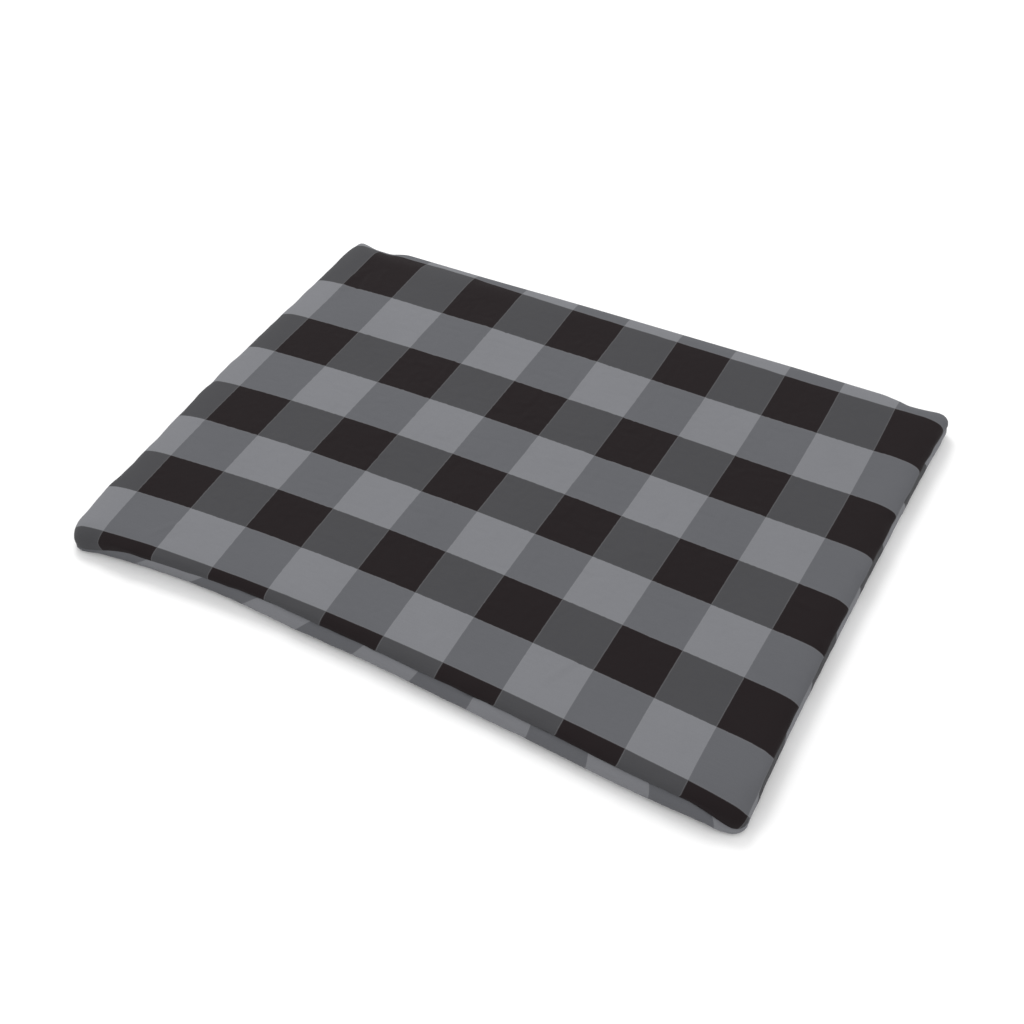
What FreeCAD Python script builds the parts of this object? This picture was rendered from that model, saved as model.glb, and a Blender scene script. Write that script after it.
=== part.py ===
import FreeCAD, Part
import math
import os
import Sketcher

# Flat rectangular pet cushion bed: a zip-off cover of two panels over a soft insert.
# +X runs along the long side, +Y points to the rear side that holds the zip, +Z is up.
# The origin is the middle of the footprint, on the surface that the bed lies on.
# All sizes are millimetres.

SIZES = [
    # overall form
    ("overall_length", 1016.0),
    ("overall_width", 762.0),
    ("thickness", 46.0),
    ("seam_height", 28.0),
    ("front_pull_in", 14.0),     # how far each side draws in between its corners
    ("side_pull_in", 6.0),
    ("rear_pull_in", 3.0),
    ("rear_set_back", 4.0),      # the rear side stands back by this, and the slider fills it
    ("corner_round", 22.0),      # plan radius of the four corners
    ("top_rim", 10.0),           # radius that turns the side wall into the top face
    ("bottom_rim", 17.0),        # the same at the underside
    ("rear_straight_half", 410.0),  # the zip keeps this much of the rear side straight
    # layers, each counted inwards from the outside of the cover
    ("cover_ply", 0.8),
    ("thread_outer_inset", 1.0),
    ("thread_inner_inset", 1.5),
    ("insert_outer_inset", 4.0),
    ("insert_inner_inset", 4.4),
    ("insert_thread_outer_inset", 4.6),
    ("insert_thread_inner_inset", 5.0),
    ("filling_inset", 5.4),
    ("insert_outer_z", 0.9),     # height of each layer's lower face; the upper ones mirror it
    ("insert_inner_z", 1.3),
    ("filling_z", 1.5),
    ("insert_top_rim", 9.0),
    ("insert_bottom_rim", 16.0),
    ("insert_corner", 19.0),
    ("thread_size", 0.5),
    # zip
    ("chain_half", 380.0),
    ("window_half", 385.0),
    ("window_gap", 5.2),
    ("tape_half", 392.0),
    ("tape_ply", 0.6),
    ("tape_gap", 0.1),
    ("tape_start", 0.75),
    ("upper_tape_bend", 45.0),   # degrees of rim that the tape follows, so that it is 15 wide
    ("lower_tape_bend", 14.0),
    ("coil_start", 0.75),
    ("coil_width", 2.25),
    ("coil_height", 2.5),
    ("coil_round", 0.9),
    ("stitch_offset", 6.7),
    ("stitch_size", 0.3),
    ("stop_length", 4.0),
    ("stop_wall", 0.7),
    ("stop_clear", 0.05),
    # slider
    ("slider_x", 369.0),
    ("slider_half_length", 6.0),
    ("slider_half_width", 4.6),
    ("slider_plate", 1.3),
    ("slider_back_plate", 1.4),
    ("slider_clear", 0.2),
    ("flange_start", 3.3),
    ("flange_lift", 0.25),
    ("post_half_width", 0.6),
    ("post_length", 4.5),
    ("bridge_half_width", 1.1),
    ("bridge_half_length", 4.4),
    ("bridge_post", 1.5),
    ("bridge_opening", 1.9),
    ("bridge_top", 1.2),
    # pull tab
    ("tab_ply", 1.4),
    ("tab_length", 24.0),
    ("tab_half_width", 3.2),
    ("tab_tip_half_width", 4.0),
    ("tab_slot_half_width", 1.7),
    ("tab_slot_length", 6.2),
    ("tab_bar", 0.7),
    # care label
    ("label_length", 30.0),
    ("label_ply", 0.7),
    ("label_drop", 22.0),
    ("label_x", -452.0),
    ("label_clear", 0.15),
]
D = dict(SIZES)

doc = FreeCAD.newDocument("pet_cushion_bed")
dims = doc.addObject("Spreadsheet::Sheet", "dims")
for row, (word, value) in enumerate(SIZES, 1):
    dims.set("A%d" % row, word)
    dims.set("B%d" % row, "%g" % value)
    dims.setAlias("B%d" % row, word)
doc.recompute()


class Size:
    """A size as the sheet's expression and its present number."""

    def __init__(self, text, number):
        self.text, self.number = text, float(number)

    @staticmethod
    def of(other):
        return other if isinstance(other, Size) else Size("%g" % other, other)

    def __add__(self, other):
        other = Size.of(other)
        return Size("(%s + %s)" % (self.text, other.text), self.number + other.number)

    def __sub__(self, other):
        other = Size.of(other)
        return Size("(%s - %s)" % (self.text, other.text), self.number - other.number)

    def __mul__(self, other):
        other = Size.of(other)
        return Size("(%s * %s)" % (self.text, other.text), self.number * other.number)

    def __truediv__(self, other):
        other = Size.of(other)
        return Size("(%s / %s)" % (self.text, other.text), self.number / other.number)

    def __neg__(self):
        return Size("(0 - %s)" % self.text, -self.number)


def d(word):
    return Size("dims." + word, D[word])


ZERO = Size("0", 0)
HALF_L = d("overall_length") / 2
HALF_W = d("overall_width") / 2
SEAM = d("seam_height")
REAR = HALF_W - d("rear_set_back") - d("rear_pull_in")  # outside of the cover along the zip


def plane(body, role):
    for feature in body.Origin.OriginFeatures:
        if feature.Role == role:
            return feature
    raise RuntimeError("no plane " + role)


def new_body(label):
    body = doc.addObject("PartDesign::Body", label)
    body.Label = label
    return body


def new_sketch(body, name, role, offset=None):
    sk = body.newObject("Sketcher::SketchObject", name)
    sk.AttachmentSupport = (plane(body, role), [""])
    sk.MapMode = "FlatFace"
    if offset is not None:
        sk.setExpression("AttachmentOffset.Base.z", offset.text)
    return sk


def bind(sk, index, size):
    sk.setExpression("Constraints[%d]" % index, size.text)


def fix_point(sk, geo, pos, x, y):
    """Puts one end of a sketch element at x, y, each a Size."""
    for kind, size in (("DistanceX", x), ("DistanceY", y)):
        if abs(size.number) < 1e-9:
            sk.addConstraint(Sketcher.Constraint("PointOnObject", geo, pos, -2 if kind == "DistanceX" else -1))
        elif size.number > 0:
            bind(sk, sk.addConstraint(Sketcher.Constraint(kind, -1, 1, geo, pos, size.number)), size)
        else:
            bind(sk, sk.addConstraint(Sketcher.Constraint(kind, geo, pos, -1, 1, -size.number)), -size)


def polygon(sk, points):
    """Closed straight-sided loop through points, each a pair of Sizes."""
    first = sk.GeometryCount
    n = len(points)
    for i in range(n):
        a, b = points[i], points[(i + 1) % n]
        sk.addGeometry(Part.LineSegment(FreeCAD.Vector(a[0].number, a[1].number, 0), FreeCAD.Vector(b[0].number, b[1].number, 0)), False)
    for i in range(n):
        sk.addConstraint(Sketcher.Constraint("Coincident", first + i, 2, first + (i + 1) % n, 1))
    for i in range(n):
        fix_point(sk, first + i, 1, points[i][0], points[i][1])


def box_loop(sk, x0, x1, y0, y1):
    polygon(sk, [(x0, y0), (x1, y0), (x1, y1), (x0, y1)])


def arc_about(cx, cy, a, b):
    """Arc counter-clockwise from point a to point b about cx, cy."""
    radius = math.hypot(a[0] - cx, a[1] - cy)
    start = math.atan2(a[1] - cy, a[0] - cx)
    end = math.atan2(b[1] - cy, b[0] - cx)
    if end < start:
        end += 2 * math.pi
    return Part.ArcOfCircle(Part.Circle(FreeCAD.Vector(cx, cy, 0), FreeCAD.Vector(0, 0, 1), radius), start, end)


def plan_loop(sk, inset):
    """Plan outline: three sides drawn in as long arcs, and a rear side that is straight along the zip and flares to its corners."""
    xc, yc = HALF_L - inset, HALF_W - inset
    yb = yc - d("rear_set_back")
    zs, yr = d("rear_straight_half"), REAR - inset
    front, side = d("front_pull_in"), d("side_pull_in")
    r_long = (xc * xc + front * front) / (front * 2)
    half_side = (yc + yb) / 2
    r_short = (half_side * half_side + side * side) / (side * 2)
    flare_x, flare_y = xc - zs, yb - yr
    r_flare = (flare_x * flare_x + flare_y * flare_y) / (flare_y * 2)  # leaves the straight stretch without a kink
    X, Y, B, Z, R, F, P = xc.number, yc.number, yb.number, zs.number, yr.number, front.number, side.number
    V = FreeCAD.Vector
    sk.addGeometry(arc_about(0, -Y + F - r_long.number, (X, -Y), (-X, -Y)), False)      # 0 front
    sk.addGeometry(arc_about(X - P + r_short.number, (B - Y) / 2, (X, B), (X, -Y)), False)        # 1 right
    sk.addGeometry(arc_about(Z, R + r_flare.number, (Z, R), (X, B)), False)             # 2 flare
    sk.addGeometry(Part.LineSegment(V(Z, R, 0), V(-Z, R, 0)), False)                    # 3 zip
    sk.addGeometry(arc_about(-Z, R + r_flare.number, (-X, B), (-Z, R)), False)          # 4 flare
    sk.addGeometry(arc_about(-X + P - r_short.number, (B - Y) / 2, (-X, -Y), (-X, B)), False)     # 5 left
    for a, pa, b, pb in ((0, 1, 1, 2), (1, 1, 2, 2), (2, 1, 3, 1), (3, 2, 4, 2), (4, 1, 5, 2), (5, 1, 0, 2)):
        sk.addConstraint(Sketcher.Constraint("Coincident", a, pa, b, pb))
    fix_point(sk, 0, 1, xc, -yc)
    fix_point(sk, 0, 2, -xc, -yc)
    fix_point(sk, 2, 2, xc, yb)
    fix_point(sk, 3, 1, zs, yr)
    fix_point(sk, 3, 2, -zs, yr)
    fix_point(sk, 4, 1, -xc, yb)
    for geo, radius in ((0, r_long), (1, r_short), (5, r_short), (2, r_flare), (4, r_flare)):
        bind(sk, sk.addConstraint(Sketcher.Constraint("Radius", geo, radius.number)), radius)


def pad(body, sk, length, name, reverse=False, middle=False):
    feature = body.newObject("PartDesign::Pad", name)
    feature.Profile = (sk, [""])
    feature.setExpression("Length", length.text)
    feature.Reversed = reverse
    if middle:
        feature.Midplane = True
    doc.recompute()
    return feature


def pocket(body, sk, length, name, reverse=False, middle=False):
    before = body.Shape.Volume
    feature = body.newObject("PartDesign::Pocket", name)
    feature.Profile = (sk, [""])
    feature.setExpression("Length", length.text)
    feature.Reversed = reverse
    if middle:
        feature.Midplane = True
    doc.recompute()
    if body.Shape.Volume > before - 1e-3:
        raise RuntimeError(name + " removed nothing")
    return feature


def fillet(body, base, test, radius, name):
    """Rounds every edge of base whose middle and ends pass test."""
    chosen = []
    for i, edge in enumerate(base.Shape.Edges, 1):
        if len(edge.Vertexes) == 2 and test(edge):
            chosen.append("Edge%d" % i)
    if not chosen:
        raise RuntimeError(name + " found no edge")
    feature = body.newObject("PartDesign::Fillet", name)
    feature.Base = (base, chosen)
    feature.setExpression("Radius", radius.text)
    doc.recompute()
    return feature


def upright(edge, along=2):
    a, b = edge.Vertexes[0].Point, edge.Vertexes[1].Point
    return all(abs(a[k] - b[k]) < 1e-6 for k in range(3) if k != along) and abs(a[along] - b[along]) > 1e-6


def level(z):
    return lambda edge: all(abs(v.Point.z - z) < 1e-6 for v in edge.Vertexes)


def slab(label, inset, bottom, height, corner, rim=None, reverse=False, near_rim=None):
    """Solid with the bed's plan outline, drawn in by inset all round. It grows up from bottom, or down from it if reverse.
    rim rounds the far face's edge, and near_rim the edge that it grows from."""
    body = new_body(label)
    sk = new_sketch(body, label + "_plan", "XY_Plane", bottom)
    plan_loop(sk, inset)
    doc.recompute()
    last = pad(body, sk, height, label + "_pad", reverse=reverse)
    straight = D["rear_straight_half"]
    last = fillet(body, last, lambda e: upright(e) and abs(e.Vertexes[0].X) > straight + 20, corner, label + "_corners")
    far = bottom.number + (-height.number if reverse else height.number)
    if rim is not None:
        last = fillet(body, last, level(far), rim, label + "_rim")
    if near_rim is not None:
        last = fillet(body, last, level(bottom.number), near_rim, label + "_near_rim")
    return body


def cut(label, base, tool):
    feature = doc.addObject("Part::Cut", label)
    feature.Base, feature.Tool = base, tool
    feature.Label = label
    doc.recompute()
    return feature


def block(label, x, y, z, lx, ly, lz):
    """Plain block from its low corner x, y, z and its sizes, all Sizes."""
    b = doc.addObject("Part::Box", label)
    b.Label = label
    for prop, size in (("Length", lx), ("Width", ly), ("Height", lz), ("Placement.Base.x", x), ("Placement.Base.y", y), ("Placement.Base.z", z)):
        b.setExpression(prop, size.text)
    doc.recompute()
    return b


parts = {}

# ---------------------------------------------------------------- cover
half_height = d("thickness") - SEAM
ply = d("cover_ply")
window = block(
    "zip_window", -d("window_half"), REAR - 12, SEAM - d("window_gap"),
    d("window_half") * 2, Size.of(24), d("window_gap") * 2,
)
top_outer = slab("cover_top_form", ZERO, SEAM, half_height, d("corner_round"), d("top_rim"))
top_inner = slab("cover_top_hollow", ply, SEAM, half_height - ply, d("corner_round") - ply, d("top_rim") - ply)
parts["cover_top_panel"] = cut("cover_top_panel", cut("cover_top_shell", top_outer, top_inner), window)

bottom_outer = slab("cover_bottom_form", ZERO, SEAM, SEAM, d("corner_round"), d("bottom_rim"), reverse=True)
bottom_inner = slab("cover_bottom_hollow", ply, SEAM, SEAM - ply, d("corner_round") - ply, d("bottom_rim") - ply, reverse=True)
parts["cover_bottom_panel"] = cut("cover_bottom_panel", cut("cover_bottom_shell", bottom_outer, bottom_inner), window)

# one closed run of thread just inside the seam, open where the zip is let in
thread_low = SEAM - d("thread_size") / 2
ring_out = slab("cover_thread_form", d("thread_outer_inset"), thread_low, d("thread_size"), d("corner_round") - d("thread_outer_inset"))
ring_in = slab("cover_thread_hollow", d("thread_inner_inset"), thread_low, d("thread_size"), d("corner_round") - d("thread_inner_inset"))
zip_zone = block(
    "zip_zone", -(d("tape_half") + 3), REAR - 20, SEAM - 20, (d("tape_half") + 3) * 2, Size.of(40), Size.of(40),
)
parts["cover_seam_thread"] = cut("cover_seam_thread", cut("cover_thread_ring", ring_out, ring_in), zip_zone)

# ---------------------------------------------------------------- insert
def insert_half(which, total, rim, reverse):
    outer_form = slab("insert_%s_form" % which, d("insert_outer_inset"), SEAM, total - d("insert_outer_z"), d("insert_corner"), rim, reverse)
    inner_form = slab(
        "insert_%s_hollow" % which, d("insert_inner_inset"), SEAM, total - d("insert_inner_z"), d("insert_corner") - 0.4, rim - 0.4, reverse
    )
    return cut("insert_%s_panel" % which, outer_form, inner_form)


parts["insert_top_panel"] = insert_half("top", half_height, d("insert_top_rim"), False)
parts["insert_bottom_panel"] = insert_half("bottom", SEAM, d("insert_bottom_rim"), True)
ring_out = slab("insert_thread_form", d("insert_thread_outer_inset"), thread_low, d("thread_size"), d("insert_corner") - 0.6)
ring_in = slab("insert_thread_hollow", d("insert_thread_inner_inset"), thread_low, d("thread_size"), d("insert_corner") - 1)
parts["insert_seam_thread"] = cut("insert_seam_thread", ring_out, ring_in)
parts["fibre_filling"] = slab(
    "fibre_filling", d("filling_inset"), d("filling_z"), d("thickness") - d("filling_z") * 2, d("insert_corner") - 1.2,
    d("insert_top_rim"), near_rim=d("insert_bottom_rim")
)

# ---------------------------------------------------------------- zip
TAPE_OUT = REAR - ply - d("tape_gap")          # outer face of both tapes
TAPE_IN = TAPE_OUT - d("tape_ply")


def tape(label, up):
    """Tape that lies flat behind the chain and follows the rim's bend at its outer edge."""
    s = 1 if up else -1
    body = new_body(label)
    sk = new_sketch(body, label + "_section", "YZ_Plane")
    rim = d("top_rim") if up else d("bottom_rim")
    bend = d("upper_tape_bend") if up else d("lower_tape_bend")
    centre_y = REAR - rim                                   # centre of the rim's bend
    centre_z = d("thickness") - rim if up else rim
    radius = rim - ply - d("tape_gap")
    angle = math.radians(bend.number)
    cy, cz = centre_y.number, centre_z.number
    ro, ri = radius.number, radius.number - D["tape_ply"]
    z0 = SEAM + d("tape_start") if up else SEAM - d("tape_start")
    out_end = (cy + ro * math.cos(angle), cz + s * ro * math.sin(angle))
    in_end = (cy + ri * math.cos(angle), cz + s * ri * math.sin(angle))
    V = FreeCAD.Vector
    sk.addGeometry(Part.LineSegment(V(TAPE_OUT.number, z0.number, 0), V(TAPE_OUT.number, cz, 0)), False)   # 0
    if up:
        sk.addGeometry(arc_about(cy, cz, (cy + ro, cz), out_end), False)                                   # 1
        sk.addGeometry(Part.LineSegment(V(out_end[0], out_end[1], 0), V(in_end[0], in_end[1], 0)), False)  # 2
        sk.addGeometry(arc_about(cy, cz, (cy + ri, cz), in_end), False)                                    # 3
        a, b = 1, 2
    else:
        sk.addGeometry(arc_about(cy, cz, out_end, (cy + ro, cz)), False)
        sk.addGeometry(Part.LineSegment(V(out_end[0], out_end[1], 0), V(in_end[0], in_end[1], 0)), False)
        sk.addGeometry(arc_about(cy, cz, in_end, (cy + ri, cz)), False)
        a, b = 2, 1
    sk.addGeometry(Part.LineSegment(V(TAPE_IN.number, cz, 0), V(TAPE_IN.number, z0.number, 0)), False)     # 4
    sk.addGeometry(Part.LineSegment(V(TAPE_IN.number, z0.number, 0), V(TAPE_OUT.number, z0.number, 0)), False)  # 5
    for g, pg, k, pk in ((0, 2, 1, a), (1, b, 2, 1), (2, 2, 3, b), (3, a, 4, 1), (4, 2, 5, 1), (5, 2, 0, 1)):
        sk.addConstraint(Sketcher.Constraint("Coincident", g, pg, k, pk))
    sk.addConstraint(Sketcher.Constraint("Coincident", 1, 3, 3, 3))
    fix_point(sk, 1, 3, centre_y, centre_z)
    bind(sk, sk.addConstraint(Sketcher.Constraint("Radius", 1, ro)), radius)
    bind(sk, sk.addConstraint(Sketcher.Constraint("Radius", 3, ri)), radius - d("tape_ply"))
    fix_point(sk, 0, 1, TAPE_OUT, z0)
    fix_point(sk, 4, 2, TAPE_IN, z0)
    sk.addConstraint(Sketcher.Constraint("Horizontal", 1, 3, 1, a))
    sk.addConstraint(Sketcher.Constraint("Horizontal", 3, 3, 3, a))
    sk.addConstraint(Sketcher.Constraint("PointOnObject", 1, 3, 2))
    index = sk.addConstraint(Sketcher.Constraint("Angle", 1, angle))
    bind(sk, index, bend)
    doc.recompute()
    pad(body, sk, d("tape_half") * 2, label + "_pad", middle=True)
    return body


parts["zip_tape_upper"] = tape("zip_tape_upper", True)
parts["zip_tape_lower"] = tape("zip_tape_lower", False)

COIL_OUT = TAPE_OUT + d("coil_height")


def coil(label, up):
    """Coil sewn on the tape's edge, as one closed bead of its outer shape."""
    body = new_body(label)
    sk = new_sketch(body, label + "_section", "YZ_Plane")
    z0 = SEAM + d("coil_start") if up else SEAM - d("coil_start") - d("coil_width")
    box_loop(sk, TAPE_OUT, COIL_OUT, z0, z0 + d("coil_width"))
    doc.recompute()
    base = pad(body, sk, d("chain_half") * 2, label + "_pad", middle=True)
    fillet(body, base, lambda e: upright(e, 0) and abs(e.Vertexes[0].Y - COIL_OUT.number) < 1e-6, d("coil_round"), label + "_round")
    return body


parts["zip_coil_upper"] = coil("zip_coil_upper", True)
parts["zip_coil_lower"] = coil("zip_coil_lower", False)


def stitching(label, up):
    size = d("stitch_size")
    z = SEAM + d("stitch_offset") - size / 2 if up else SEAM - d("stitch_offset") - size / 2
    return block(label, -d("window_half"), REAR + 0.02, z, d("window_half") * 2, size, size)


parts["zip_stitching_upper"] = stitching("zip_stitching_upper", True)
parts["zip_stitching_lower"] = stitching("zip_stitching_lower", False)

# crimped stops: a channel over the coils
EDGE = d("coil_start") + d("coil_width") + d("stop_clear")  # inside of the crimp's legs
STOP_LOW = TAPE_OUT + d("stop_clear")
STOP_ROOF = COIL_OUT + d("stop_clear")
STOP_TOP = STOP_ROOF + d("stop_wall")


def channel(body, name, x_mid, z_in, z_out, mirror_out):
    sk = new_sketch(body, name, "YZ_Plane", x_mid)
    polygon(sk, [
        (STOP_LOW, SEAM - z_out - d("stop_wall")), (STOP_TOP, SEAM - z_out - d("stop_wall")),
        (STOP_TOP, SEAM + mirror_out + d("stop_wall")), (STOP_LOW, SEAM + mirror_out + d("stop_wall")),
        (STOP_LOW, SEAM + mirror_out), (STOP_ROOF, SEAM + mirror_out), (STOP_ROOF, SEAM - z_out), (STOP_LOW, SEAM - z_out),
    ])
    doc.recompute()
    return sk


body = new_body("zip_bottom_stop")
sk = channel(body, "zip_bottom_stop_section", -(d("chain_half") - d("stop_length") / 2), ZERO, EDGE, EDGE)
base = pad(body, sk, d("stop_length"), "zip_bottom_stop_pad", middle=True)
fillet(
    body, base,
    lambda e: upright(e, 0) and abs(e.Vertexes[0].Y - STOP_TOP.number) < 1e-6, d("stop_wall") * 0.6, "zip_bottom_stop_round",
)
parts["zip_bottom_stop"] = body


def top_stop(label, up):
    """Crimp over one coil: two legs and a roof."""
    b = new_body(label)
    s = new_sketch(b, label + "_section", "YZ_Plane", d("chain_half") - d("stop_length") / 2)
    near = d("coil_start") - d("stop_clear")
    leg_in, leg_out = near - 0.5, EDGE + d("stop_wall")
    zs = [SEAM + v if up else SEAM - v for v in (leg_in, leg_out, EDGE, near)]
    polygon(s, [
        (STOP_LOW, zs[0]), (STOP_TOP, zs[0]), (STOP_TOP, zs[1]), (STOP_LOW, zs[1]),
        (STOP_LOW, zs[2]), (STOP_ROOF, zs[2]), (STOP_ROOF, zs[3]), (STOP_LOW, zs[3]),
    ])
    doc.recompute()
    first = pad(b, s, d("stop_length"), label + "_pad", middle=True)
    fillet(b, first, lambda e: upright(e, 0) and abs(e.Vertexes[0].Y - STOP_TOP.number) < 1e-6, d("stop_wall") * 0.6, label + "_round")
    return b


stops = doc.addObject("Part::Compound", "zip_top_stops")
stops.Links = [top_stop("zip_top_stop_a", True), top_stop("zip_top_stop_b", False)]
stops.Label = "zip_top_stops"
doc.recompute()
parts["zip_top_stops"] = stops

# ---------------------------------------------------------------- slider
SX = d("slider_x")
HL, HW = d("slider_half_length"), d("slider_half_width")
BACK_OUT = TAPE_IN - d("slider_clear")
BACK_IN = BACK_OUT - d("slider_back_plate")
FRONT_IN = COIL_OUT + d("slider_clear")
FRONT_OUT = FRONT_IN + d("slider_plate")
FLANGE_LOW = TAPE_OUT + d("flange_lift")

slider = new_body("zip_slider")


def plate_sketch(name, y_at, narrow):
    """Slider plate seen from outside: full width at the nose, narrower at the tail. The XZ plane's normal is -Y."""
    s = new_sketch(slider, name, "XZ_Plane", -y_at)
    tail = HW - narrow
    polygon(s, [
        (SX - HL, SEAM - tail), (SX + HL - 3, SEAM - HW), (SX + HL, SEAM - HW + 2.2),
        (SX + HL, SEAM + HW - 2.2), (SX + HL - 3, SEAM + HW), (SX - HL, SEAM + tail),
    ])
    doc.recompute()
    return s


# back plate, behind the tapes
base = pad(slider, plate_sketch("slider_back_outline", BACK_OUT, 0.6), d("slider_back_plate"), "slider_back_plate")
if abs(slider.Shape.BoundBox.YMax - BACK_OUT.number) > 1e-6:
    base.Reversed = not base.Reversed
    doc.recompute()
flip = base.Reversed  # the way that grows towards -Y
# guide post between the two coils, at the nose
s = new_sketch(slider, "slider_post_outline", "XZ_Plane", -BACK_OUT)
box_loop(s, SX + HL - d("post_length") - 0.6, SX + HL - 0.6, SEAM - d("post_half_width"), SEAM + d("post_half_width"))
doc.recompute()
pad(slider, s, FRONT_IN - BACK_OUT, "slider_post", reverse=not flip)
# front plate, over the coils
pad(slider, plate_sketch("slider_front_outline", FRONT_IN, 0.6), d("slider_plate"), "slider_front_plate", reverse=not flip)
# flanges that wrap the coils' outer edges
for name, sign in (("slider_flange_upper", 1), ("slider_flange_lower", -1)):
    s = new_sketch(slider, name + "_outline", "XZ_Plane", -FLANGE_LOW)
    inner = SEAM + d("flange_start") if sign > 0 else SEAM - d("flange_start")
    outer_tail = SEAM + HW - 0.6 if sign > 0 else SEAM - HW + 0.6
    outer_nose = SEAM + HW if sign > 0 else SEAM - HW
    polygon(s, [(SX - HL, inner), (SX + HL - 3, inner), (SX + HL - 3, outer_nose), (SX - HL, outer_tail)])
    doc.recompute()
    pad(slider, s, FRONT_IN - FLANGE_LOW, name, reverse=not flip)
# bridge that holds the pull tab
s = new_sketch(slider, "slider_bridge_outline", "XY_Plane", SEAM)
BL = d("bridge_half_length")
BRIDGE_IN = FRONT_OUT + d("bridge_opening")
BRIDGE_OUT = BRIDGE_IN + d("bridge_top")
polygon(s, [
    (SX - BL, FRONT_OUT - 0.4), (SX - BL + d("bridge_post"), FRONT_OUT - 0.4), (SX - BL + d("bridge_post"), BRIDGE_IN),
    (SX + BL - d("bridge_post"), BRIDGE_IN), (SX + BL - d("bridge_post"), FRONT_OUT - 0.4), (SX + BL, FRONT_OUT - 0.4),
    (SX + BL, BRIDGE_OUT - 0.9), (SX + BL - 0.9, BRIDGE_OUT), (SX - BL + 0.9, BRIDGE_OUT), (SX - BL, BRIDGE_OUT - 0.9),
])
doc.recompute()
bridge = pad(slider, s, d("bridge_half_width") * 2, "slider_bridge", middle=True)
last = fillet(
    slider, bridge,
    lambda e: upright(e, 1) and e.Vertexes[0].Y > BACK_IN.number - 1 and abs(abs(e.Vertexes[0].Z - SEAM.number) - (HW.number - 2.2)) < 0.01
    and abs(e.Vertexes[0].X - SX.number - HL.number) < 0.01,
    Size.of(1.2), "slider_nose_round",
)
last = fillet(
    slider, last,
    lambda e: abs(e.Vertexes[0].Y - BRIDGE_OUT.number) < 1e-6 and abs(e.Vertexes[1].Y - BRIDGE_OUT.number) < 1e-6 and upright(e, 0),
    Size.of(0.4), "slider_bridge_round",
)
parts["zip_slider"] = slider

# ---------------------------------------------------------------- pull tab, lying flat and pointing to -X
PIVOT_Y = FRONT_OUT + d("bridge_opening") / 2
tab = new_body("zip_pull_tab")
s = new_sketch(tab, "tab_outline", "XZ_Plane", -(PIVOT_Y + d("tab_ply") / 2))
TW, TT, TL = d("tab_half_width"), d("tab_tip_half_width"), d("tab_length")
polygon(s, [
    (SX + d("tab_bar"), SEAM - TW + 0.6), (SX + d("tab_bar"), SEAM + TW - 0.6), (SX + d("tab_bar") - 0.6, SEAM + TW), (SX - 8, SEAM + TW - 0.2),
    (SX - TL + 6, SEAM + TT), (SX - TL + 2.5, SEAM + TT), (SX - TL, SEAM + TT - 2), (SX - TL, SEAM - TT + 2), (SX - TL + 2.5, SEAM - TT),
    (SX - TL + 6, SEAM - TT), (SX - 8, SEAM - TW + 0.2), (SX + d("tab_bar") - 0.6, SEAM - TW),
])
doc.recompute()
plate = pad(tab, s, d("tab_ply"), "tab_plate", reverse=flip)
if abs(tab.Shape.BoundBox.YMax - (PIVOT_Y.number + D["tab_ply"] / 2)) > 1e-6:
    plate.Reversed = not plate.Reversed
    doc.recompute()
s = new_sketch(tab, "tab_slot_outline", "XZ_Plane", -PIVOT_Y)
box_loop(s, SX - d("tab_bar") - d("tab_slot_length"), SX - d("tab_bar"), SEAM - d("tab_slot_half_width"), SEAM + d("tab_slot_half_width"))
doc.recompute()
slot = pocket(tab, s, d("tab_ply") * 3, "tab_slot", middle=True)
# the bar in the slider's bridge is round enough to turn there
last = fillet(
    tab, slot,
    lambda e: upright(e, 2) and abs(abs(e.Vertexes[0].X - SX.number) - D["tab_bar"]) < 1e-6,
    d("tab_bar") * 0.8, "tab_bar_round",
)
parts["zip_pull_tab"] = tab

# ---------------------------------------------------------------- care label, hanging from the seam beside the zip
def flare_y(x):
    """Outside of the cover's rear side at x, past the straight stretch."""
    beyond = abs(x) - D["rear_straight_half"]
    radius = ((HALF_L.number - D["rear_straight_half"]) ** 2 + D["rear_pull_in"] ** 2) / (2 * D["rear_pull_in"])
    return REAR.number + radius - math.sqrt(radius * radius - beyond * beyond)


label = block(
    "care_label", d("label_x"), REAR, SEAM - d("label_drop") + 0.2, d("label_length"), d("label_ply"), d("label_drop"),
)
end_x = D["label_x"] + D["label_length"]
lean = math.degrees(math.atan2(flare_y(end_x) - flare_y(D["label_x"]), D["label_length"]))
label.setExpression("Placement.Base.y", None)
label.Placement = FreeCAD.Placement(
    FreeCAD.Vector(D["label_x"], flare_y(D["label_x"]) + D["label_clear"], label.Placement.Base.z), FreeCAD.Rotation(FreeCAD.Vector(0, 0, 1), lean)
)
doc.recompute()
parts["care_label"] = label

# ---------------------------------------------------------------- write
doc.recompute()
for thing in doc.Objects:
    if "Invalid" in thing.State or "Error" in thing.State:
        raise RuntimeError("%s failed: %s" % (thing.Label, thing.State))
os.makedirs("parts", exist_ok=True)
for node, thing in parts.items():
    shape = thing.Shape
    if shape.isNull() or not shape.isValid():
        raise RuntimeError("%s has no valid shape" % node)
    if thing.Label != node:
        raise RuntimeError("%s is labelled %s" % (node, thing.Label))
    box = shape.BoundBox
    print("%-22s solids %d  volume %12.1f  x %8.2f %8.2f  y %8.2f %8.2f  z %6.2f %6.2f" % (
        node, len(shape.Solids), shape.Volume, box.XMin, box.XMax, box.YMin, box.YMax, box.ZMin, box.ZMax))
    shape.exportStep("parts/%s.step" % node)
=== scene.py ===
# Pet cushion bed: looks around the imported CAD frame.
# Fabric, filling, seams and zip details are built here. Plan sizes below are millimetres, Blender objects are metres.
import bpy
import bmesh
import math
import numpy as np
from mathutils import Matrix, Vector


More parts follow.
